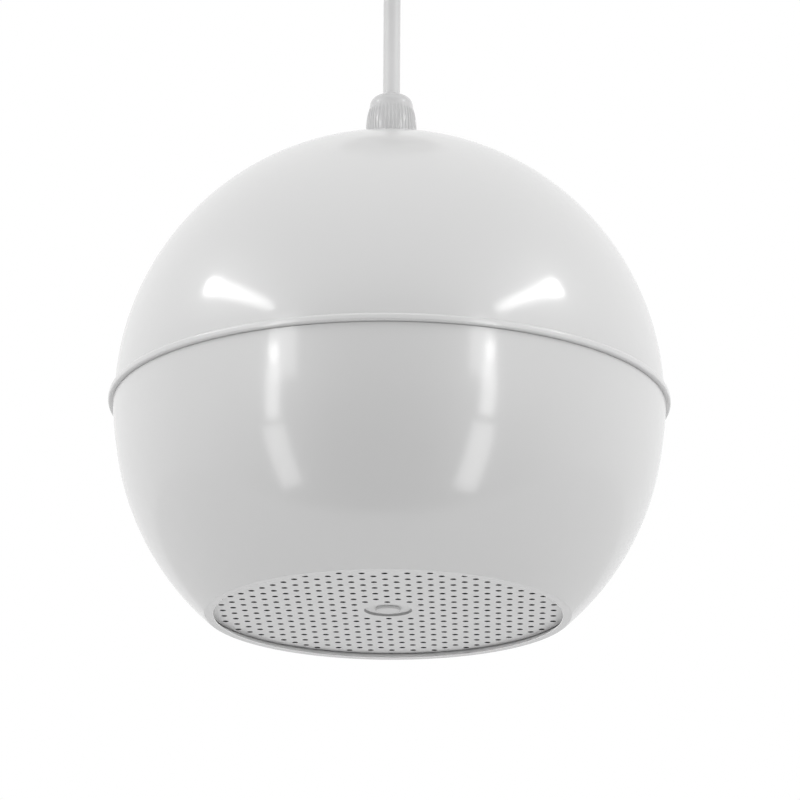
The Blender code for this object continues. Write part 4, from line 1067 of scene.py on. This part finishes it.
def ceiling_cup():
    """Turned cup with a soft outer corner and a rolled rim against the ceiling."""
    low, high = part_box("ceiling_cup")
    inside = CUP_RADIUS - CUP_SHEET
    floor = low.z + CUP_SHEET
    hole = GRIP_STEM + FIT
    between = (CUP_RADIUS + hole) / 2
    wall = [
        (between, low.z, 0),
        (CUP_RADIUS, low.z, CUP_CORNER),
        (CUP_RADIUS, high.z, 0.0004),
        (inside, high.z, 0.0004),
        (inside, floor, CUP_CORNER - CUP_SHEET),
        (between, floor, 0),
    ]
    mouth = [(between, floor, 0), (hole, floor, 0.0003), (hole, low.z, 0.0003), (between, low.z, 0)]
    line = filleted(wall, 10) + filleted(mouth, 3)[1:-1]
    thing = stand_in(turned("ceiling_cup_shell", line, 192), "ceiling_cup", "shell")
    thing.data.materials[0] = ceiling_white()
    return thing


def cord_grip():
    """Collar under the cup: a tapered foot, two shallow grooves for the fingers, and a threaded stem."""
    low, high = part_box("cord_grip")
    bore = CABLE_RADIUS + FIT
    radius = high.x
    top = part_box("ceiling_cup")[0].z - FIT
    corners = [(bore, low.z, 0), (radius * 0.8, low.z, 0.0008), (radius, low.z + 0.0033, 0.0015)]
    for groove in (low.z + 0.0052, low.z + 0.0072):
        corners += [(radius, groove - 0.0005, 0), (radius - 0.0004, groove, 0.0002)]
        corners += [(radius, groove + 0.0005, 0)]
    corners += [(radius, top, 0.0005), (GRIP_STEM, top, 0)]
    line = filleted(corners)
    turns = 12
    for i in range(1, turns + 1):
        line.append((GRIP_STEM - THREAD_DEPTH * (i % 2), top + (high.z - top) * i / (turns + 1)))
    line += [(GRIP_STEM - 0.0005, high.z), (bore, high.z)]
    return stand_in(turned("turned_cord_grip", line), "cord_grip", "gland")


def cross_recess(radius, height, angle):
    """Narrow the rings in the middle of a screw's head, and those of its shank, into a cross."""
    if radius > SCREW_HEAD * 0.55 or radius < SCREW_HEAD * 0.12:
        return radius
    return radius * (0.3 + 0.7 * abs(math.cos(2 * angle)) ** 4)


def screw_line(head_foot, way, grip_end, head_height, head=SCREW_HEAD):
    """Profile of a pan-head screw with a cross recess and a rolled thread. way is where its head points."""
    top = head_foot + way * head_height
    crown = [(0, top - way * 0.0011), (head * 0.22, top - way * 0.0009), (head * 0.5, top - way * 0.00005)]
    for i in range(7):
        angle = math.pi / 2 * (1 - i / 6)
        height = head_foot + way * head_height * (0.25 + 0.75 * math.sin(angle))
        crown.append((head * 0.58 + head * 0.42 * math.cos(angle), height))
    length = abs(head_foot - grip_end)
    turns = 2 * round(length / 0.0006)
    thread = [(head, head_foot), (SCREW_RADIUS, head_foot)]
    for i in range(1, turns):
        thread.append((SCREW_RADIUS - THREAD_DEPTH * (i % 2), head_foot - way * length * i / turns))
    return crown + thread + [(SCREW_RADIUS * 0.7, grip_end), (0, grip_end)]


def screw(node, line, at=(0, 0)):
    thing = turned(f"{node}_pan_head", line, 48, closed=False, at=at, relief=cross_recess)
    return stand_in(thing, node, "zinc_steel")


def standing_screw(node):
    """One of the screws in the ball, its head on the side where the CAD's is."""
    low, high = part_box(node)
    head_height = 0.002
    if node in DRIVER_SCREWS:
        line = screw_line(high.z - head_height, 1, low.z, head_height)
    else:
        line = screw_line(low.z + head_height, -1, high.z, head_height)
    return screw(node, line, middle_of(node))


def cup_screw(node):
    """Side screw of the ceiling cup, turned upright and then laid with its head pointing out."""
    low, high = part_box(node)
    way = 1 if low.x > 0 else -1
    length = high.x - low.x
    head_height = 0.0013
    thing = screw(node, screw_line(length - head_height, 1, 0, head_height, (high.z - low.z) / 2 * 0.86))
    foot = (low.x if way > 0 else high.x, 0, half_way(low, high))
    laid = Matrix.Rotation(0 if way > 0 else math.pi, 4, "Z") @ Matrix.Rotation(math.pi / 2, 4, "Y")
    thing.data.transform(Matrix.Translation(foot) @ laid)
    return thing


# The driver

def loose(name, line, slot):
    """Turned soft piece that no body carries, because it bends between two of them."""
    shape = bmesh.new()
    turn_into(shape, line, DRIVER_SIDES)
    return dress(in_scene(name, finished_mesh(name, shape)), slot)


SHELF_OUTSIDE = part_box("basket")[1].x - FLANGE_WIDTH
SHELF_INSIDE = SHELF_OUTSIDE - SHELF_WIDTH
FLANGE = above(-0.0672)
SURROUND_SHELF = above(-0.064)
SPIDER_SHELF = above(-0.0352)
NOSE = above(-0.0302)
WINDOWS = 6
WINDOW_SIDES = 144


def basket():
    """Pressed frame: flange, stepped shelf, sloping wall with windows, spider shelf and nose."""
    line = [
        (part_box("basket")[1].x, FLANGE, 0),
        (SHELF_OUTSIDE, FLANGE, 0.0009),
        (SHELF_OUTSIDE, SURROUND_SHELF, 0.0009),
        (SHELF_INSIDE, SURROUND_SHELF, 0.0015),
        (SPIDER_SHELF_RADIUS, SPIDER_SHELF, 0.0015),
        (NOSE_RADIUS + BASKET_SHEET, SPIDER_SHELF, 0.0015),
        (NOSE_RADIUS, NOSE, 0.0015),
        (NOSE_HOLE, NOSE, 0),
    ]
    points = filleted(line)
    low_end = max(i for i, p in enumerate(points) if p[0] > SLOPE_OUTSIDE)
    high_end = min(i for i, p in enumerate(points) if p[0] < SLOPE_INSIDE)
    first, last = Vector(points[low_end]), Vector(points[high_end])
    between = [tuple(first.lerp(last, s)) for s in (0.06, 0.1, 0.3, 0.5, 0.7, 0.9, 0.94)]
    points = points[: low_end + 1] + between + points[high_end:]
    opened = range(low_end + 2, low_end + 6)
    eased = (low_end + 1, low_end + 6)
    faces = sheet_line(points, BASKET_SHEET)
    count = len(points)
    shape = bmesh.new()
    front, back = (
        [[shape.verts.new((x, y, z)) for x, y in circle(r, WINDOW_SIDES)] for r, z in profile]
        for profile in (faces[:count], faces[count:][::-1])
    )
    step = WINDOW_SIDES // WINDOWS

    def is_open(i, k):
        across = abs(i % step + 0.5 - step / 2)
        return across < 6 and k in opened or across < 5 and k in eased

    def wall(i, k, j, l):
        shape.faces.new((front[k][i], front[l][j], back[l][j], back[k][i]))

    for k in range(count - 1):
        for i in range(WINDOW_SIDES):
            j = (i + 1) % WINDOW_SIDES
            if is_open(i, k):
                continue
            for side in (front, back):
                shape.faces.new((side[k][i], side[k][j], side[k + 1][j], side[k + 1][i]))
            if is_open(j, k):
                wall(j, k, j, k + 1)
            if is_open(i - 1, k):
                wall(i, k, i, k + 1)
            if k and is_open(i, k - 1):
                wall(i, k, j, k)
            if k < count - 2 and is_open(i, k + 1):
                wall(i, k + 1, j, k + 1)
    for k in (0, count - 1):
        for i in range(WINDOW_SIDES):
            wall(i, k, (i + 1) % WINDOW_SIDES, k)
    thing = placed("pressed_basket", finished_mesh("pressed_basket", shape, 40))
    return stand_in(softened(thing, 0.00025), "basket", "black_steel")


CONE_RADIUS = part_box("cone")[1].x
CONE_EDGE = CONE_RADIUS - 0.0028
CONE_NECK_RADIUS = COIL_OUTSIDE + 0.00095
CONE_NECK = above(-0.04025)


def cone():
    """Pressed paper cone with a flat gluing edge and three stiffening rings."""
    foot = CONE_NECK - CONE_DEPTH
    line = [(CONE_RADIUS, foot), (CONE_RADIUS - 0.0014, foot)]
    for i in range(49):
        radius = CONE_EDGE + (CONE_NECK_RADIUS - CONE_EDGE) * i / 48
        share = max(0, (radius - CONE_NECK_RADIUS) / (CONE_EDGE - CONE_NECK_RADIUS))
        swell = sum(0.00022 * math.exp(-(((radius - at) / 0.0006) ** 2)) for at in CONE_RINGS)
        line.append((radius, CONE_NECK - CONE_DEPTH * share**0.85 + swell))
    thing = turned("pressed_cone", sheet_line(line, CONE_SHEET), body="cone_assembly")
    return stand_in(thing, "cone", "cone_paper")


def dust_cap():
    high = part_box("dust_cap")[1]
    radius, bulge, half = 0.0158, 0.0045, 0.0003
    shares = [1 - i / 16 for i in range(17)]
    line = [(radius * share, high.z - half - bulge * (1 - share**2)) for share in shares]
    outer = [(r, z + half) for r, z in line]
    inner = [(r, z - half) for r, z in line]
    thing = turned("domed_dust_cap", outer + inner[::-1], 96, "cone_assembly")
    return stand_in(thing, "dust_cap", "cone_paper")


def surround():
    """Half roll of rubber from its flat rim on the basket's shelf to its lip at the cone."""
    sheet = 0.0007
    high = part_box("surround")[1]
    rim = SURROUND_SHELF - (BASKET_SHEET + sheet) / 2 - FIT
    lip = high.z - sheet / 2
    inside = CONE_RADIUS + sheet
    middle, half = (SHELF_INSIDE + inside) / 2, (SHELF_INSIDE - inside) / 2
    line = [(high.x - sheet * 0.1, rim), (SHELF_INSIDE + 0.0006, rim)]
    for i in range(33):
        angle = math.pi * i / 32
        line.append((middle + half * math.cos(angle), rim - 0.0042 * math.sin(angle)))
    line += [(inside, rim + 0.0015), (inside, lip - 0.001), (inside - 0.0004, lip - 0.0002)]
    line += [(CONE_RADIUS - 0.001, lip), (CONE_RADIUS - 0.0025, lip)]
    thing = loose("rubber_surround", sheet_line(line, sheet), "rubber")
    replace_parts(thing, "surround")
    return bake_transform(thing)


def spider():
    """Corrugated cloth that centres the coil, from its rim on the basket's spider shelf to its neck at the
    former.
    """
    sheet = 0.0005
    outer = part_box("spider")[1].x - 0.0001
    inner = COIL_OUTSIDE + FIT
    rim = SPIDER_SHELF - (BASKET_SHEET + sheet) / 2 - FIT
    cup = 0.0027
    line = []
    for i in range(97):
        share = i / 96
        fade = min(1, share / 0.1, (1 - share) / 0.06)
        wave = 0.0004 * fade * math.sin(math.tau * 6 * share)
        line.append((outer + (inner - outer) * share, rim - cup * share + wave))
    thing = loose("corrugated_spider", sheet_line(line, sheet), "spider_cloth")
    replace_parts(thing, "spider")
    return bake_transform(thing)


def voice_coil():
    low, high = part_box("voice_coil")
    bore = COIL_OUTSIDE - 0.0005
    middle = half_way(*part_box("top_plate"))
    half_length = 0.004
    line = [(bore, high.z), (COIL_OUTSIDE, high.z), (COIL_OUTSIDE, middle + half_length)]
    steps = 80
    for i in range(steps + 1):
        height = middle + half_length - 2 * half_length * i / steps
        line.append((COIL_OUTSIDE + (0.0005 if i % 2 else 0.0004), height))
    line += [(COIL_OUTSIDE, middle - half_length), (COIL_OUTSIDE, low.z), (bore, low.z)]
    return stand_in(turned("wound_voice_coil", line, 96, "cone_assembly"), "voice_coil", "coil")


def motor_ring(name, node, bore, rounds, slot, steps=4):
    """A ring of the motor. rounds is the fillet of its bore's edges and that of its outer edges."""
    low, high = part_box(node)
    inner, outer = rounds
    middle = half_way(low, high)
    corners = [
        (bore, middle, 0),
        (bore, high.z, inner),
        (high.x, high.z, outer),
        (high.x, low.z, outer),
        (bore, low.z, inner),
        (bore, middle, 0),
    ]
    return stand_in(turned(name, filleted(corners, steps)[:-1]), node, slot)


def back_plate():
    """Back plate of the motor in one piece with its vented pole."""
    low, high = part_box("back_plate")
    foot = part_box("magnet")[1].z + FIT
    vent = 0.003
    corners = [
        (vent, foot, 0),
        (vent, high.z, 0.0007),
        (high.x, high.z, 0.0008),
        (high.x, foot, 0.0005),
        (POLE_RADIUS, foot, 0.0006),
        (POLE_RADIUS, low.z, 0.0004),
        (vent, low.z, 0.0006),
        (vent, foot, 0),
    ]
    return stand_in(turned("back_plate_with_pole", filleted(corners)[:-1]), "back_plate", "zinc_steel")


def gasket():
    """Foam ring, a little fuller in the middle of its height."""
    low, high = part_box("grille_gasket")
    fullness = 0.00025
    outer, inner = [], []
    for i in range(13):
        swell = fullness * math.sin(math.pi * i / 12) - fullness
        height = low.z + (high.z - low.z) * i / 12
        outer.append((high.x + swell, height))
        inner.append((high.x - GASKET_WIDTH - swell, height))
    return stand_in(turned("foam_gasket", outer + inner[::-1]), "grille_gasket", "foam")


# Wires, and soft edges on what the CAD already shapes

def smooth_route(points, steps=10):
    """Points along a curve that runs through each of the given ones."""
    given = [Vector(p) for p in points]
    ends = [given[0], *given, given[-1]]
    route = []
    for a, b, c, d in zip(ends, ends[1:], ends[2:], ends[3:]):
        for i in range(steps):
            t = i / steps
            bend = (2 * a - 5 * b + 4 * c - d) * t**2 + (3 * b - a - 3 * c + d) * t**3
            route.append(tuple(0.5 * (2 * b + (c - a) * t + bend)))
    return route + [tuple(given[-1])]


def wire(node, radius, route, slot):
    """A wire that takes the place of the CAD's, through the same points."""
    through = [(x, y, above(z)) for x, y, z in smooth_route(route)]
    return stand_in(placed(f"{node}_smooth", tube(f"{node}_smooth", radius, through, 6)), node, slot)


def ball_wires():
    """Cable tail, its two cores and the driver's two leads."""
    seal_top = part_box("gland_seal")[1].z - MIDDLE
    tail = [(0, 0, seal_top), (0, 0, 0.1), (0, 0, 0.088)]
    tail += [(0.0025, 0, 0.077), (0.0085, 0, 0.067), (0.0165, 0, 0.0595)]
    wire("cable_tail", CABLE_RADIUS, tail, "cable_jacket")
    block_low, block_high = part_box("terminal_block")
    face = block_low.x - FIT
    clamp = half_way(block_low, block_high) - MIDDLE
    clamp_offset = 0.00525
    for colour, side in (("brown", -1), ("blue", 1)):
        y = side * (WIRE_RADIUS + FIT)
        route = [
            (0.0171, y, 0.0589),
            (0.0205, y, 0.0565),
            (face - 0.009, side * 0.0035, 0.0605),
            (face - 0.003, side * clamp_offset, clamp),
            (face, side * clamp_offset, clamp),
        ]
        wire(f"supply_core_{colour}", WIRE_RADIUS, route, f"{colour}_wire")
    winding_low, winding_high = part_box("transformer_winding")
    start = winding_low.x - 2 * FIT
    height = half_way(winding_low, winding_high) - MIDDLE
    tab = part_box("basket")[1].x - 0.00525
    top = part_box("terminal_strip")[1].z - MIDDLE
    bow = tab + 0.005
    for colour, side in (("red", -1), ("black", 1)):
        y = side * 0.0035
        route = [
            (start, y, height),
            (start - 0.005, y, height - 0.00125),
            ((start - 2 * bow) / 3, y, height / 3),
            (-bow, y, 0),
            (-bow, y, top / 2),
            (-tab, y, top + 0.005),
            (-tab, y, top + FIT),
        ]
        wire(f"speaker_lead_{colour}", WIRE_RADIUS, route, f"{colour}_wire")


FITTING_FROM_CAD = ("ceiling_bracket", "ceiling_connector", "grip_screw")
INSIDE_FROM_CAD = (
    "terminal_block", "terminal_strip", "transformer_core", "transformer_frame", "transformer_winding"
)

upper_dome()
lower_bowl()
grille()
badge_button()
gasket()
gland_nut()
gland_washer()
gland_body()
gland_seal()
hexagon_nut("gland_lock_nut_moulded", "gland_lock_nut", SPIGOT_HOLE + 0.0001)
ceiling_cup()
cord_grip()
hexagon_nut("moulded_grip_nut", "grip_nut", GRIP_STEM + FIT)
cup_screw("cup_screw_1")
cup_screw("cup_screw_2")
basket()
cone()
dust_cap()
surround()
spider()
voice_coil()
motor_ring("turned_top_plate", "top_plate", COIL_OUTSIDE + 0.0011, (0.0002, 0.0005), "zinc_steel")
motor_ring("ring_magnet", "magnet", MAGNET_BORE, (0.0006, 0.0011), "ferrite", 2)
back_plate()
ball_wires()
for name in (*DRIVER_SCREWS, *BALL_SCREWS):
    standing_screw(name)
for name in (*FITTING_FROM_CAD, *INSIDE_FROM_CAD):
    softened(frame["nodes"][name])


# Studio

# Strips of light: name, both ends, width and brightness. Two hang overhead, each with a bright end. The
# uprights stand in pairs at the front, each with a softer panel beside it.
STRIPS = (
    ("overhead_left", (-1.03, -0.05, 0.675), (-1.65, -1.42, 0.97), 0.115, 11),
    ("overhead_right", (1.01, -0.2, 0.683), (1.537, -1.553, 0.945), 0.115, 12),
    ("key_left", (-1.02, -0.05, 0.668), (-1.08, -0.2, 0.705), 0.07, 20),
    ("key_right", (1.01, -0.2, 0.67), (1.04, -0.35, 0.695), 0.09, 20),
    ("upright_left", (-0.873, -0.855, 0.165), (-0.887, -0.865, 0.085), 0.08, 15),
    ("upright_right", (0.78, -0.955, 0.165), (0.787, -0.978, 0.085), 0.08, 15),
    ("soft_left", (-0.76, -0.86, 0.42), (-0.79, -0.9, 0.0), 0.22, 3.8),
    ("soft_right", (0.69, -0.93, 0.42), (0.7, -1.0, 0.0), 0.2, 3.8),
    ("side_left", (-0.893, -0.862, 0.065), (-0.905, -0.815, -0.28), 0.13, 6.4),
    ("side_right", (0.785, -0.967, 0.065), (0.769, -0.936, -0.28), 0.13, 6.9),
    ("low_left", (-0.898, -0.795, -0.325), (-0.75, -0.65, -0.78), 0.2, 4.2),
    ("low_right", (0.755, -0.92, -0.335), (0.6, -0.73, -0.84), 0.2, 4.8),
)


def strip_light(name, start, end, width, radiance):
    """A soft strip between two points, facing the ball, of a given brightness."""
    start, end = turned_about_ball(start), turned_about_ball(end)
    length = (end - start).length
    lamp = bpy.data.lights.new(name, "AREA")
    lamp.shape = "RECTANGLE"
    lamp.size = length
    lamp.size_y = width
    lamp.energy = radiance * math.pi * length * width
    middle = (start + end) / 2
    along = (end - start).normalized()
    away = (middle - Vector((0, 0, MIDDLE))).normalized()
    across = away.cross(along).normalized()
    thing = in_scene(name, lamp)
    thing.matrix_world = Matrix.LocRotScale(
        middle, Matrix((along, across, along.cross(across))).transposed(), None
    )
    thing.visible_camera = False


TENT_LIGHT = 0.99
TENT_DARK = 0.0


def studio_tent():
    """White surroundings: pure white behind the object, and a tent that is open and darker at the camera."""
    world = bpy.data.worlds.new("white_tent")
    bpy.context.scene.world = world
    world.use_nodes = True
    tree = world.node_tree
    tree.nodes.clear()
    way = add(tree, "TexCoord").outputs["Generated"]
    open_side = dot_product(tree, way, (0, -0.8, -0.6))
    level = ramp(tree, open_side, 0.1, 1.0, TENT_LIGHT, TENT_DARK, interpolation_type="SMOOTHSTEP")
    height = add(tree, "SeparateXYZ", {0: way}).outputs["Z"]
    level = math_node(tree, "MULTIPLY", level, math_node(tree, "MULTIPLY_ADD", height, -0.04, 1.0))
    glow = add(tree, "Background", {"Color": (1, 1, 1, 1), "Strength": level}).outputs[0]
    white = add(tree, "Background", {"Color": (1, 1, 1, 1), "Strength": 1.0}).outputs[0]
    seen = add(tree, "LightPath").outputs["Is Camera Ray"]
    mixed = add(tree, "MixShader", {0: seen, 1: glow, 2: white}).outputs[0]
    add(tree, "OutputWorld", {"Surface": mixed})


def studio_floor():
    """Plain pale floor, a metre under the ball, that ends short of the camera."""
    shape = bmesh.new()
    bmesh.ops.create_circle(shape, cap_ends=True, radius=8, segments=96)
    mesh = bpy.data.meshes.new("studio_floor")
    shape.to_mesh(mesh)
    shape.free()
    floor = in_scene("studio_floor", mesh)
    floor.location = (0, 7.3, MIDDLE - 1.0)
    look, tree, shader = plain("pale_floor", 0.8)
    toned(tree, shader, grey(0.8), 0.5, 0.03)
    mesh.materials.append(look)


for strip in STRIPS:
    strip_light(*strip)
studio_tent()
studio_floor()
bpy.context.scene.view_settings.view_transform = "Standard"
